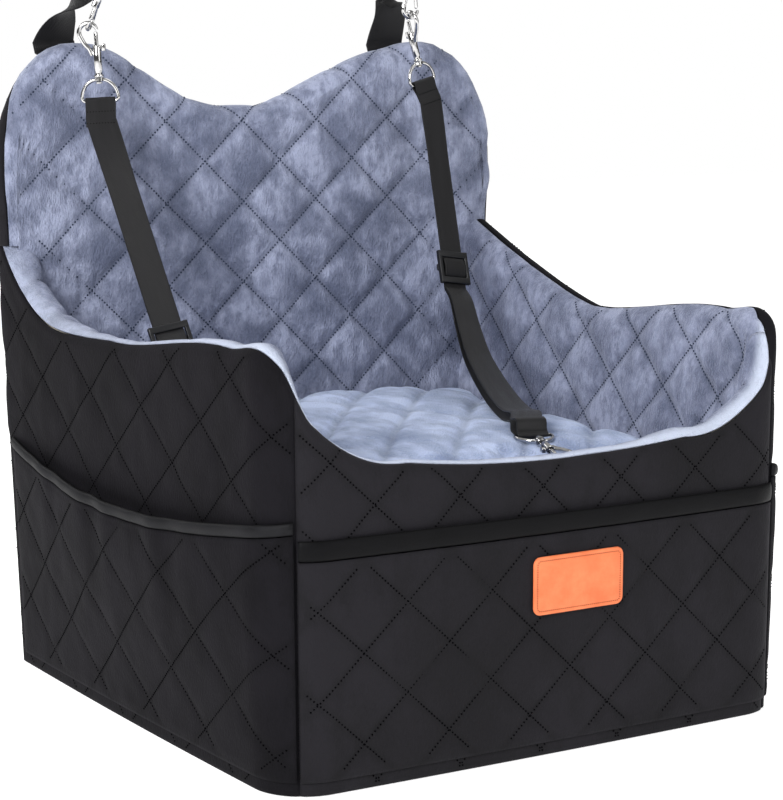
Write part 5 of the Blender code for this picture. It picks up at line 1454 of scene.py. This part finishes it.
BACK_COLUMNS = 190
BACK_ROWS = 158
SHOULDER_COLUMNS_SHARE = 0.13
ROLL_ROWS = 9
SIDE_TOP = SIDE_BACK_HEIGHT + 2 * GAP
SIDE_SEAM_TURN = math.radians(35)
BACK_RIM_LIGHT = 0.35
EDGE_MARGIN = 0.25
TIP_TUCK = 0.012
FLAT_EDGE = 0.006
FLAT_RUN = 0.030
FOOT_RUN = 0.02
EDGE_PUFF_SHARE = 0.30
EDGE_PUFF_TURN = 1.4
EDGE_SEARCH_STEPS = 14
BESIDE_STITCH_GAP = 0.004
TIP_STITCH_GAP = 0.01
ZIP_LENGTH = 0.380
ZIP_HEIGHT = 0.055
ZIP_TAPE_WIDTH = 0.024
ZIP_TAPE_SKIN = 0.0012
ZIP_MARGIN = (0.002, 0.001)
ZIP_FADE = (0.016, 0.012)


def back_columns():
    """Positions across the backrest, closer together towards its steep shoulders."""
    steps = np.linspace(-1, 1, BACK_COLUMNS)
    inner = 1 - SHOULDER_COLUMNS_SHARE
    wide = HALF_WIDTH - ROLL_RADIUS - EAR_CENTRE
    turn = math.pi / 2 * np.clip((np.abs(steps) - inner) / SHOULDER_COLUMNS_SHARE, 0, 1)
    offset = np.where(np.abs(steps) <= inner, EAR_CENTRE * np.abs(steps) / inner,
                      EAR_CENTRE + wide * np.sin(turn))
    return np.sign(steps) * offset


def back_cloth(name, foot, behind, quilt, amount, seed):
    """Quilted cloth of one face of the backrest, carried over its rounded edge to the seam."""
    x = back_columns()
    top, out_x, out_z = outline(x)
    share = np.linspace(0, 1, BACK_ROWS)
    height = foot + (top[:, None] - foot) * share[None, :]
    columns, rows = height.shape
    flat_x = np.repeat(x[:, None], rows, axis=1)
    lowest = int(np.argmax(height[0] > SIDE_TOP - TIP_TUCK))
    border = [(0, j) for j in range(lowest, rows)]
    border += [(i, rows - 1) for i in range(1, columns)]
    border += [(columns - 1, j) for j in range(rows - 2, lowest - 1, -1)]
    numbers = np.array([i * rows + j for i, j in border])
    side = np.array([i for i, j in border])
    edge_out = np.stack([out_x[side], out_z[side]], axis=-1)
    seam = edge_seam(edge_out[:, 1], behind)
    turns = seam[:, None] * np.linspace(0, 1, ROLL_ROWS + 1)[None, 1:]
    arc = ROLL_RADIUS * turns
    edge_x = flat_x.ravel()[numbers]
    edge_z = height.ravel()[numbers]
    across = np.concatenate([flat_x.ravel(), (edge_x[:, None] + edge_out[:, :1] * arc).ravel()])
    up = np.concatenate([height.ravel(), (edge_z[:, None] + edge_out[:, 1:] * arc).ravel()])
    base_x = np.concatenate([flat_x.ravel(), np.repeat(edge_x, ROLL_ROWS)])
    base_z = np.concatenate([height.ravel(), np.repeat(edge_z, ROLL_ROWS)])
    turn = np.concatenate([np.zeros(columns * rows), turns.ravel()])
    way = np.concatenate([np.zeros((columns * rows, 2)), np.repeat(edge_out, ROLL_ROWS, axis=0)])
    start = columns * rows
    faces = [grid_faces(columns, rows)]
    first = np.concatenate([numbers[:, None], start + np.arange(len(border) * ROLL_ROWS)
                            .reshape(-1, ROLL_ROWS)], axis=1)
    faces.append(np.stack([first[:-1, :-1], first[:-1, 1:], first[1:, 1:], first[1:, :-1]],
                          axis=-1).reshape(-1, 4))
    faces = np.concatenate(faces)
    place = back_surface(foot, behind, quilt, amount, seed)
    marks = puff(across, up, quilt)
    front = place(base_x, base_z, way, turn, 0.0)
    back = place(base_x, base_z, way, turn, -CLOTH_SKIN, False)
    # Painted highlight over the liner's rolled edge; none on the cover behind
    rim = BACK_RIM_LIGHT * ease((turn - RIM_FROM) / RIM_RUN) * (not behind)
    return skin(name, front, back, faces, across, up, marks, rim)


def edge_seam(out_z, behind):
    """Turn over the backrest's edge at which the liner and the cover end."""
    seam = SIDE_SEAM_TURN + (TOP_SEAM_TURN - SIDE_SEAM_TURN) * ease(out_z)
    return math.pi - seam - SEAM_SPREAD if behind else seam


def off_zip(x, z):
    """1 away from the zip, 0 under its tape, where the cover lies flat."""
    along = ease((np.abs(x) - ZIP_LENGTH / 2 - ZIP_MARGIN[0]) / ZIP_FADE[0])
    up = ease((np.abs(z - ZIP_HEIGHT) - ZIP_TAPE_WIDTH / 2 - ZIP_MARGIN[1]) / ZIP_FADE[1])
    return np.maximum(along, up)


def back_surface(foot, behind, quilt, amount, seed):
    """Function for the place of the backrest's cloth at a base point and a turn over the edge."""
    facing = 1 if behind else -1
    limit = HALF_WIDTH - WALL_THICKNESS - FLAT_EDGE

    def place(base_x, base_z, way, turn, extra, swollen=True):
        def at(lift):
            radius = ROLL_RADIUS + lift
            reach = radius * np.sin(turn)
            y = HALF_DEPTH - ROLL_RADIUS + facing * radius * np.cos(turn)
            return warp(base_x + way[..., 0] * reach, y, base_z + way[..., 1] * reach)

        if not swollen:
            return at(extra)
        arc = ROLL_RADIUS * turn
        marks = puff(base_x + way[..., 0] * arc, base_z + way[..., 1] * arc, quilt)
        low = ease((limit - np.abs(base_x)) / FLAT_RUN)
        open_edge = ease((base_z - SIDE_TOP - FLAT_EDGE) / FLAT_RUN)
        fade = off_zip(base_x, base_z) if behind else np.maximum(low, open_edge)
        full = EDGE_PUFF_SHARE + (1 - EDGE_PUFF_SHARE) * ease(1 - turn / EDGE_PUFF_TURN)
        fade = fade * ease((base_z - foot) / FOOT_RUN) * full
        rest = at(amount * marks * fade)
        wave = swells(rest, (seed, seed + 3), BACK_SWELLS)
        return at((amount * marks + wave) * fade + extra)

    return place


def edge_of(across, up):
    """Nearest point of the backrest's edge line, how far past it a place lies and the way out."""
    x = across
    limit = HALF_WIDTH - ROLL_RADIUS
    for _ in range(EDGE_SEARCH_STEPS):
        top, out_x, out_z = outline(x)
        past = (across - x) * out_x + (up - top) * out_z
        x = (x + np.clip(across - out_x * past, -limit, limit)) / 2
    top, out_x, out_z = outline(x)
    past = (across - x) * out_x + (up - top) * out_z
    return x, top, past, np.stack([out_x, out_z], axis=-1)


def back_lines(foot, behind, quilt, amount, seed):
    """Rows of stitches on one face of the backrest, carried over its rounded edge."""
    surface = back_surface(foot, behind, quilt, amount, seed)

    def placed(across, up, extra):
        x, top, past, way = edge_of(across, up)
        beyond = past > 0
        turn = np.where(beyond, past / ROLL_RADIUS, 0.0)
        return surface(np.where(beyond, x, across), np.where(beyond, top, up),
                       way * beyond[:, None], turn, extra)

    def keep(across, up):
        _, _, past, way = edge_of(across, up)
        last = ROLL_RADIUS * (edge_seam(way[:, 1], behind) - EDGE_MARGIN)
        inside = (up > foot + BESIDE_STITCH_GAP) & (past < last)
        if behind:
            inside = inside & (off_zip(across, up) > 0)
        clear = (np.abs(across) < HALF_WIDTH - WALL_THICKNESS - BESIDE_STITCH_GAP) | (up > SIDE_TOP)
        at_side = np.abs(across) > HALF_WIDTH - ROLL_RADIUS
        return inside & (clear | behind) & ~(at_side & (up < SIDE_TOP + TIP_STITCH_GAP))

    return quilt_rows(placed, quilt, (-HALF_WIDTH, HALF_WIDTH), (foot, EAR_HEIGHT), keep)


def make_backrest():
    """Liner and cover of the backrest."""
    face = (LINER_FOOT, False, "back", LINER_PUFF, 7)
    mesh = back_cloth("back_liner", *face)
    piece = settle(piece_from("back_liner_velvet", mesh, LINER_VELVET), ["back_liner"])
    stitches("back_liner_stitches", back_lines(*face), BLUE_DENT_SHADE, "liner_velvet")
    face = (COVER_FOOT, True, "cover_side", COVER_PUFF, 9)
    mesh = back_cloth("cover_back", *face)
    piece = settle(piece_from("cover_back_velvet", mesh, COVER_VELVET), ["cover_back"])
    stitches("cover_back_stitches", back_lines(*face), BLACK_THREAD_AND_DENT_SHADE, "cover_velvet", width=COVER_STITCH_WIDTH)


make_backrest()


# Cushion

CUSHION_PLAY = 0.004
CUSHION_DEPTH = WALL_THICKNESS + CUSHION_PLAY + 2 * GAP
CUSHION_START_INSET = 0.005
CUSHION_CORNER = 0.030
CUSHION_LEVELS = [(0.012, 0.0), (0.003, 0.004), (0.0, 0.014), (0.0, 0.5), (0.0, 0.86), (0.004, 0.95),
                  (0.014, 1.0), (0.05, 1.04), (0.11, 1.09)]
CUSHION_CORNER_STEPS = 8
CUSHION_VOXEL = 0.0055
CUSHION_PRESSURE = 4.0
CUSHION_STEPS = 20
CUSHION_REACH = 0.010
CUSHION_CROWN = 0.015
CUSHION_TOP_RUN = 0.020
CUSHION_LEVEL = 0.012
CUSHION_TOP_REACH = 0.026
CHANNEL_WAY = (0.6, 0.8)
CHANNEL_START = 0.0147
CHANNEL_PITCH = 0.0505
CHANNEL_DEPTH = 0.0055
CHANNEL_SOFTNESS = 0.00875
CROSS_LEAN = 0.55
CROSS_START = 0.035
CROSS_PITCH = 0.185
CROSS_SOFTNESS = 0.011
CROSS_SHARE = 0.50
WRINKLE = 0.0016
WRINKLE_STRETCH = 3.2
WRINKLES = ((0.0075, 0.6), (0.016, 1.0))
CHANNEL_WRINKLE_SHARE = 0.35
SIDE_DROP = 0.014
SIDE_DROP_FROM_SHARE = 0.45
SIDE_DROP_END = 0.19
SIDE_DROP_RUN = 0.20
SIDE_MARK = 0.6


def cushion_form():
    """Plain rounded block that the cushion is blown up from."""
    wide = HALF_WIDTH - CUSHION_DEPTH - CUSHION_START_INSET
    deep = HALF_DEPTH - CUSHION_DEPTH - CUSHION_START_INSET
    low = CUSHION_FLOOR_HEIGHT + 2 * GAP
    sections = []
    for inset, rise in CUSHION_LEVELS:
        height = low + (CUSHION_SEAM_HEIGHT - low) * rise
        ring = rounded_rectangle(wide - inset, deep - inset, CUSHION_CORNER, CUSHION_CORNER_STEPS)
        sections.append([(x, y, height) for x, y in ring])
    return loft("seat_cushion", sections), low


def modified(mesh, name, kind, **settings):
    """Mesh after one modifier."""
    helper = helper_from(name, mesh)
    modifier = helper.modifiers.new(kind.title(), kind)
    for key, value in settings.items():
        setattr(modifier, key, value)
    made = evaluated(helper, name)
    bpy.data.objects.remove(helper, do_unlink=True)
    return made


def mesh_points(mesh):
    """Points of a mesh as an array."""
    found = np.empty(len(mesh.vertices) * 3)
    mesh.vertices.foreach_get("co", found)
    return found.reshape(-1, 3)


def blown_up(mesh, name):
    """The form under pressure as cloth, with each point's way capped."""
    helper = helper_from(name, mesh)
    modifier = helper.modifiers.new("Cloth", "CLOTH")
    settings = modifier.settings
    settings.quality = 5
    settings.mass = 0.3
    settings.use_pressure = True
    settings.uniform_pressure_force = CUSHION_PRESSURE
    settings.effector_weights.gravity = 0.0
    for frame_number in range(1, CUSHION_STEPS + 1):
        scene.frame_set(frame_number)
    made = evaluated(helper, name)
    scene.frame_set(1)
    before, after = mesh_points(mesh), mesh_points(made)
    bpy.data.objects.remove(helper, do_unlink=True)
    way = after - before
    size = np.maximum(np.linalg.norm(way, axis=1, keepdims=True), 1e-9)
    mesh.vertices.foreach_set("co", (before + way * np.minimum(1.0, CUSHION_REACH / size)).ravel())
    mesh.update()
    return mesh


def channels(x, y):
    """Sewn channels: 0 on the slanting seams, 1 between them, lower where a cross seam passes."""
    along_x, along_y = CHANNEL_WAY
    across = along_y * x - along_x * y
    along = along_x * x + along_y * y
    share = (across - CHANNEL_START) / CHANNEL_PITCH
    gap = np.abs(share - np.round(share)) * CHANNEL_PITCH
    cross_share = (along + CROSS_LEAN * across - CROSS_START) / CROSS_PITCH
    cross = np.abs(cross_share - np.round(cross_share)) * CROSS_PITCH / math.hypot(1, CROSS_LEAN)
    return np.tanh(gap / CHANNEL_SOFTNESS) * (1 - CROSS_SHARE * np.exp(-(cross / CROSS_SOFTNESS) ** 2))


def make_cushion():
    """Plush cushion: a blown-up form with a crown, sewn channels and fine wrinkles."""
    mesh, low = cushion_form()
    mesh = modified(mesh, "seat_cushion", "REMESH", mode="VOXEL", voxel_size=CUSHION_VOXEL)
    mesh = blown_up(mesh, "seat_cushion")
    mesh = modified(mesh, "seat_cushion", "SUBSURF", levels=1, render_levels=1)
    points = mesh_points(mesh)
    wide, deep = HALF_WIDTH - CUSHION_DEPTH, HALF_DEPTH - CUSHION_DEPTH
    x, y = np.clip(points[:, 0], -wide, wide), np.clip(points[:, 1], -deep, deep)
    marks = channels(x, y)
    on_top = ease((points[:, 2] - CUSHION_SEAM_HEIGHT + CUSHION_TOP_RUN) / CUSHION_TOP_RUN)
    dome = (1 - np.abs(x / wide) ** 3) * (1 - (y / deep) ** 4)
    side_drop = SIDE_DROP * ease((SIDE_DROP_END - y) / SIDE_DROP_RUN)
    side_drop *= ease((np.abs(x) / wide - SIDE_DROP_FROM_SHARE) / (1 - SIDE_DROP_FROM_SHARE))
    along_x, along_y = CHANNEL_WAY
    folds = np.stack([(along_y * x - along_x * y) / WRINKLE_STRETCH, along_x * x + along_y * y,
                      points[:, 2]], axis=-1)
    wrinkles = swells(folds, (12, 13), WRINKLES)
    wrinkles *= CHANNEL_WRINKLE_SHARE + (1 - CHANNEL_WRINKLE_SHARE) * marks
    crown = CUSHION_CROWN * dome - side_drop - CHANNEL_DEPTH * (1 - marks) + WRINKLE * wrinkles
    level = np.minimum(points[:, 2], CUSHION_SEAM_HEIGHT + CUSHION_LEVEL)
    height = np.clip(level + on_top * crown, low, CUSHION_SEAM_HEIGHT + CUSHION_TOP_REACH)
    mesh.vertices.foreach_set("co", warp(x, y, height).ravel())
    # Crease mark for the plush finish, which paints shade along the channel seams; the sides get a mark high
    # enough to paint none
    mark = mesh.attributes.new("crease", "FLOAT", "POINT")
    mark.data.foreach_set("value", marks * on_top + SIDE_MARK * (1 - on_top))
    return turn_out(mesh)


cushion = piece_from("seat_cushion_plush", make_cushion(), CUSHION_PLUSH)
settle(cushion, ["seat_cushion"])


# Pockets on the outside of the box, with their bindings, and the leather patch

POCKET_FOOT = 0.011
POCKET_SKIN = 0.0016
POCKET_PUFF = 0.0009
POCKET_STEP = 0.0028
FRONT_POCKET_TOP = 0.1705
FRONT_POCKET_BULGE = 0.003
FRONT_BINDING = (0.016, 0.003)
SIDE_POCKET_TOP = 0.190
SIDE_POCKET_SAG = 0.020
SIDE_POCKET_BULGE = 0.0135
SIDE_HEM = (0.010, 0.005)
FRONT_POCKET_ENDS = (LEFT_SEAM + SEAM_GAP, RIGHT_SEAM - SEAM_GAP)
SIDE_POCKET_ENDS = (SIDE_START + SIDE_RUN * 0.02, SIDE_END + FRONT_ARC * 0.59)
FULL_SWELL_SHARE = 1.1
SWELL_POWER = 0.8
MOUTH_RIPPLE = 0.0018
MOUTH_WAVES = ((41.0, 0.6, 0.55), (67.0, 2.1, 0.30), (23.0, 0.0, 0.35))
MOUTH_SLACK_POWER = 1.2
RIPPLE_DEPTH_POWER = 2.2
POCKET_END_FADE = 0.010
POCKET_EDGE_FADE = 0.008
POCKET_WAVES = ((0.05, 0.0007), (0.016, 0.0004))
POCKET_DEEPEST_WAVE = 0.0004
POCKET_STITCH_GAP = 0.004
BAND_TURNS = 9
BAND_REACH = 86
BAND_FILL = 0.92
BAND_LUMP = 0.10
BAND_LUMP_SIZE = 0.02
BAND_FLATNESS = 0.8
BAND_EDGE_SHARE = 0.20


def pocket_swell(distance, first, last, bulge):
    """How far a pocket stands off the wall at its mouth."""
    share = np.clip((distance - first) / (last - first), 0.0, 1.0)
    return bulge * np.sin(math.pi * share) ** SWELL_POWER


def side_mouth(distance, first, last):
    """Height of a side pocket's top edge, which sags in the middle."""
    return SIDE_POCKET_TOP - SIDE_POCKET_SAG * np.sin(math.pi * (distance - first) / (last - first))


def mouth_ripple(distance, first, last, bulge):
    """Loose waves of a pocket's slack mouth, none at its sewn ends."""
    share = (distance - first) / (last - first)
    slack = np.sin(math.pi * np.clip(share, 0, 1)) ** MOUTH_SLACK_POWER
    waves = sum(np.sin(share * pace + start) * weight for pace, start, weight in MOUTH_WAVES)
    return slack * waves * MOUTH_RIPPLE * min(bulge / SIDE_POCKET_BULGE, 1.0)


def make_pocket(name, ends, bulge, mouth, quilt, spread_of, seed):
    """Pocket panel: flat to the wall round its foot and ends, standing off at its mouth."""
    first, last = ends
    columns = marks_between(first, last, POCKET_STEP)
    levels = marks_between(0, 1, POCKET_STEP / SIDE_POCKET_TOP)
    distance, level = np.meshgrid(columns, levels, indexing="ij")
    height = POCKET_FOOT + (mouth(distance) - POCKET_FOOT) * level
    edge = np.minimum(np.minimum(distance - first, last - distance) / POCKET_END_FADE,
                      np.minimum(height - POCKET_FOOT, mouth(distance) - height) / POCKET_EDGE_FADE)
    marks = puff(spread_of(distance), height, quilt)

    def place(distance, height, lift):
        level = (height - POCKET_FOOT) / (mouth(distance) - POCKET_FOOT)
        off = pocket_swell(distance, first, last, bulge) * ease(level * FULL_SWELL_SHARE)
        off = off + mouth_ripple(distance, first, last, bulge) * np.clip(level, 0, 1) ** RIPPLE_DEPTH_POWER
        return warp(*plan(distance, -(np.maximum(off, 0.0) + GAP) - lift), height)

    base = place(distance, height, POCKET_SKIN)
    wave = swells(base, (seed, seed + 1), POCKET_WAVES)
    lift = POCKET_SKIN + POCKET_PUFF * marks * ease(edge)
    lift = lift + np.maximum(wave * ease(edge), -POCKET_DEEPEST_WAVE)
    mesh = shell(name, place(distance, height, lift), place(distance, height, 0.0),
                 spread_of(distance), height, marks)
    behind = name.split("_")[0]
    # The side pockets take the darker copy of the velvet: painted shade
    finish = COVER_VELVET if behind == "front" else SHADED_SIDE_VELVET
    piece = settle(piece_from(name + "_velvet", mesh, finish), [name])
    tall = float(np.mean(mouth(columns))) - POCKET_FOOT

    start, end = (float(spread_of(at)) for at in ends)

    def distance_at(across):
        return first + (across - start) / (end - start) * (last - first)

    def keep(across, up):
        at = distance_at(across)
        inside = (at > first + POCKET_STITCH_GAP) & (at < last - POCKET_STITCH_GAP)
        return inside & (up < mouth(at) - POCKET_STITCH_GAP) & (up > POCKET_FOOT + POCKET_STITCH_GAP)

    def placed(across, up, lift):
        return place(distance_at(across), up, POCKET_SKIN + lift)

    rows = quilt_rows(placed, quilt, sorted((start, end)), (POCKET_FOOT, SIDE_POCKET_TOP), keep)
    stitches(name + "_stitches", rows, BLACK_THREAD_AND_DENT_SHADE, "cover_velvet", width=COVER_STITCH_WIDTH)


def make_band(name, node, ends, bulge, mouth, size, finish):
    """Bound top edge of a pocket: a soft flattened tube that follows the mouth."""
    first, last = ends
    tall, thick = size
    columns = marks_between(first, last, POCKET_STEP)

    def half(low, high):
        turns = np.radians(np.linspace(low, high, BAND_TURNS))
        distance, turn = np.meshgrid(columns, turns, indexing="ij")
        swell = pocket_swell(distance, first, last, bulge) + mouth_ripple(distance, first, last, bulge)
        off = GAP + np.maximum(swell, 0.0) + POCKET_SKIN / 2
        fat = 1 + BAND_LUMP * ripple(warp(*plan(distance, -off), mouth(distance)), BAND_LUMP_SIZE, 21)
        out = np.maximum(off + thick / 2 * np.cos(turn) * fat, GAP)
        flat = np.sign(np.sin(turn)) * np.abs(np.sin(turn)) ** BAND_FLATNESS
        height = mouth(distance) + GAP + tall / 2 + tall / 2 * flat * BAND_FILL
        return warp(*plan(distance, -out), height), distance, height

    front, distance, height = half(-BAND_REACH, BAND_REACH)
    back, _, _ = half(180 + BAND_REACH, 180 - BAND_REACH)
    middle = mouth(distance) + GAP + tall / 2
    share = np.abs(height - middle) / (tall / 2 * BAND_FILL)
    marks = 1 - ease((share - 1 + BAND_EDGE_SHARE) / BAND_EDGE_SHARE)
    mesh = shell(name, front, back, distance, height, marks)
    piece = settle(piece_from(name, mesh, finish), [node])


BAND_STRETCH = (1.0, 1.0, 3.0)
BAND_SHADE_SCALE = 55.0
BAND_GRAIN_SCALE = 900.0
BAND_RELIEF = 0.00008
BAND_EDGE_SHADE = 0.3
BAND_ROUGHER = 0.15


def band_finish(name, deep, pale, roughness):
    """Smooth band with soft shade along it and dark lines at its two edges."""
    made, tree, shader = new_finish(name)
    shader.inputs["Specular IOR Level"].default_value = 0.10
    cloth = object_place(tree)
    shade = grain(tree, stretched(tree, cloth, BAND_STRETCH), BAND_SHADE_SCALE, 3.0)
    seam = put(tree, "ShaderNodeAttribute", attribute_name="crease").outputs["Fac"]
    edge = tuple(channel * BAND_EDGE_SHADE for channel in deep)
    face = mix(tree, seam, edge, mix(tree, shade, deep, pale))
    tree.links.new(face, shader.inputs["Base Color"])
    spread_to(tree, shade, roughness, roughness + BAND_ROUGHER, shader.inputs["Roughness"])
    bumped(tree, shader, grain(tree, cloth, BAND_GRAIN_SCALE), BAND_RELIEF)
    return made


BINDING = band_finish("pocket_binding", (0.0010, 0.0010, 0.0014), (0.0024, 0.0024, 0.0032), 0.42)
HEM = band_finish("pocket_hem", (0.0060, 0.0060, 0.0070), (0.0125, 0.0125, 0.0145), 0.50)


def make_pockets():
    """Three pockets with their bindings."""
    def front_mouth(distance):
        return FRONT_POCKET_TOP + 0 * distance

    make_pocket("front_pocket", FRONT_POCKET_ENDS, FRONT_POCKET_BULGE, front_mouth, "pocket_front",
                front_of, 31)
    make_band("front_pocket_band", "front_pocket_binding", FRONT_POCKET_ENDS, FRONT_POCKET_BULGE,
              front_mouth, FRONT_BINDING, BINDING)
    first, last = SIDE_POCKET_ENDS
    mirrored = (PATH_END - last, PATH_END - first)
    for side, ends in (("left", SIDE_POCKET_ENDS), ("right", mirrored)):

        def mouth(distance, ends=ends):
            return side_mouth(distance, *ends)

        make_pocket(side + "_pocket", ends, SIDE_POCKET_BULGE, mouth, "pocket_side", side_of, 35)
        make_band(side + "_pocket_hem_tube", side + "_pocket_hem", ends, SIDE_POCKET_BULGE, mouth,
                  SIDE_HEM, HEM)


PATCH_WIDTH = 0.082
PATCH_HEIGHT = 0.044
PATCH_CORNER = 0.006
PATCH_SKIN = 0.0018
PATCH_X = 0.017
PATCH_CENTRE_HEIGHT = 0.133
PATCH_RINGS = [(0.0, 0.0), (0.0, 0.55), (0.0003, 0.85), (0.0009, 1.0), (0.0022, 1.0), (0.0027, 0.90),
               (0.0033, 0.88), (0.0039, 1.0), (0.006, 1.03), (0.010, 1.05), (0.015, 1.05), (0.020, 1.05)]
PATCH_THREAD_INSET = 0.0030
PATCH_THREAD_LIFT_SHARE = 0.9
PATCH_THREAD = (0.0018, 0.0010, 0.0006)
PATCH_SHARPEST = 0.0008
PATCH_CREASE = math.radians(50)
PATCH_CORNER_STEPS = 10
LEATHER_SHADES = ((0.68, 0.150, 0.050), (0.80, 0.215, 0.082))
LEATHER_CREASE_SCALE = 900.0
LEATHER_CLOUD_SCALE = 70.0
LEATHER_RELIEF = 0.00012


def patch_outline(inset):
    """Points round the patch's rounded outline, an inset inside it."""
    corner = max(PATCH_CORNER - inset, PATCH_SHARPEST)
    return rounded_rectangle(PATCH_WIDTH / 2 - inset, PATCH_HEIGHT / 2 - inset, corner, PATCH_CORNER_STEPS)


def patch_point(across, up, lift):
    """Point on the pocket's face, a lift in front of it."""
    x = PATCH_X + across
    distance = FRONT_START + HALF_WIDTH - FRONT_CORNER_RADIUS + x
    swell = float(pocket_swell(distance, *FRONT_POCKET_ENDS, FRONT_POCKET_BULGE))
    off = swell + POCKET_SKIN + 3 * GAP + POCKET_PUFF
    return [float(value) for value in warp(x, -HALF_DEPTH - off - lift, PATCH_CENTRE_HEIGHT + up)]


def leather_finish():
    """Orange leather with soft clouds and a fine creased grain."""
    made, tree, shader = new_finish("orange_leather", Roughness=0.52)
    shader.inputs["Specular IOR Level"].default_value = 0.35
    place = object_place(tree)
    creases = put(tree, "ShaderNodeTexVoronoi", {"Vector": place, "Scale": LEATHER_CREASE_SCALE})
    clouds = grain(tree, place, LEATHER_CLOUD_SCALE)
    tree.links.new(mix(tree, clouds, *LEATHER_SHADES), shader.inputs["Base Color"])
    bumped(tree, shader, creases.outputs["Distance"], LEATHER_RELIEF, 0.6)
    return made


def make_patch():
    """Bare leather patch with rounded corners, sewn on the front pocket."""
    sections = [[patch_point(across, up, PATCH_SKIN * rise) for across, up in patch_outline(inset)]
                for inset, rise in PATCH_RINGS]
    mesh = loft("leather_patch", sections)
    settle(piece_from("leather_patch_hide", mesh, leather_finish(), PATCH_CREASE),
           ["leather_patch"])
    ring = patch_outline(PATCH_THREAD_INSET)
    ring = ring + ring[:1]
    lift = PATCH_SKIN * PATCH_THREAD_LIFT_SHARE
    row = np.array([patch_point(across, up, lift) for across, up in ring])
    outs = np.repeat([[0.0, -1.0, 0.0]], len(row), axis=0)
    stitches("leather_patch_thread", [(row, outs)], ORANGE_STITCH, "patch_leather", *PATCH_THREAD)


make_pockets()
make_patch()


# Zip across the foot of the back

TAPE_STEPS = (0.004, 0.0015)
TAPE_EDGE_DIP = 0.0003
TAPE_RIB = 0.00025
TAPE_RIB_HALF = 0.0035
TEETH_OFFSETS = (-0.0013, 0.0013)
TEETH_INSET = 0.004
TOOTH = (0.0022, 0.0017, 0.0009)


def make_zip():
    """Woven tape with its two rows of teeth."""
    face = HALF_DEPTH + GAP
    x, up = np.meshgrid(marks_between(-ZIP_LENGTH / 2, ZIP_LENGTH / 2, TAPE_STEPS[0]),
                        marks_between(-ZIP_TAPE_WIDTH / 2, ZIP_TAPE_WIDTH / 2, TAPE_STEPS[1]), indexing="ij")
    rib = TAPE_RIB * np.exp(-(up / TAPE_RIB_HALF) ** 2)
    front = np.stack([x, face + ZIP_TAPE_SKIN - TAPE_EDGE_DIP + rib, ZIP_HEIGHT + up], axis=-1)
    back = np.stack([x, face + 0 * x, ZIP_HEIGHT + up], axis=-1)
    mesh = shell("zip_tape", front, back, x, up, np.ones_like(x))
    settle(piece_from("zip_tape_weave", mesh, BINDING), ["zip_tape"])
    rows = []
    reach = ZIP_LENGTH / 2 - TEETH_INSET
    at = marks_between(-reach, reach, TAPE_STEPS[0])
    for offset in TEETH_OFFSETS:
        row = np.stack([at, np.full_like(at, face + ZIP_TAPE_SKIN), np.full_like(at, ZIP_HEIGHT + offset)],
                       axis=-1)
        rows.append((row, np.repeat([[0.0, 1.0, 0.0]], len(row), axis=0)))
    stitches("zip_teeth", rows, HEM, "binding", *TOOTH)


make_zip()


# Solids that stay as they are: boards, foam, the cover's base, the liner's floor, zip slider and pull

FOAM = grained_finish("cream_foam", 900.0, (0.62, 0.57, 0.46), (0.78, 0.74, 0.64), 0.9, 0.0006)
BOARD = grained_finish("grey_board", 300.0, (0.28, 0.28, 0.29), (0.40, 0.40, 0.41), 0.6, 0.0002)
SOLID_FINISHES = {"zip_slider": PLASTIC, "zip_pull": PLASTIC, "floor_liner": LINER_VELVET,
                  "cover_base": COVER_VELVET}
for node_name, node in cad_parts.items():
    kind = node_name.rpartition("_")[2]
    finish = {"foam": FOAM, "board": BOARD}.get(kind, SOLID_FINISHES.get(node_name))
    if finish:
        node.data.materials.clear()
        node.data.materials.append(finish)


# Ground

bpy.ops.mesh.primitive_plane_add(size=FLOOR_SIZE, location=(0, 0, -FLOOR_DROP))
ground = bpy.context.object
ground.name = "studio_floor"
pale_floor, floor_tree, floor_shader = new_finish("pale_floor", Roughness=0.9)
floor_grain = grain(floor_tree, object_place(floor_tree), 3.0)
floor_tree.links.new(mix(floor_tree, floor_grain, *FLOOR_SHADES), floor_shader.inputs["Base Color"])
floor_shader.inputs["Emission Color"].default_value = (1.0, 1.0, 1.0, 1.0)
floor_shader.inputs["Emission Strength"].default_value = FLOOR_GLOW
ground.data.materials.append(pale_floor)
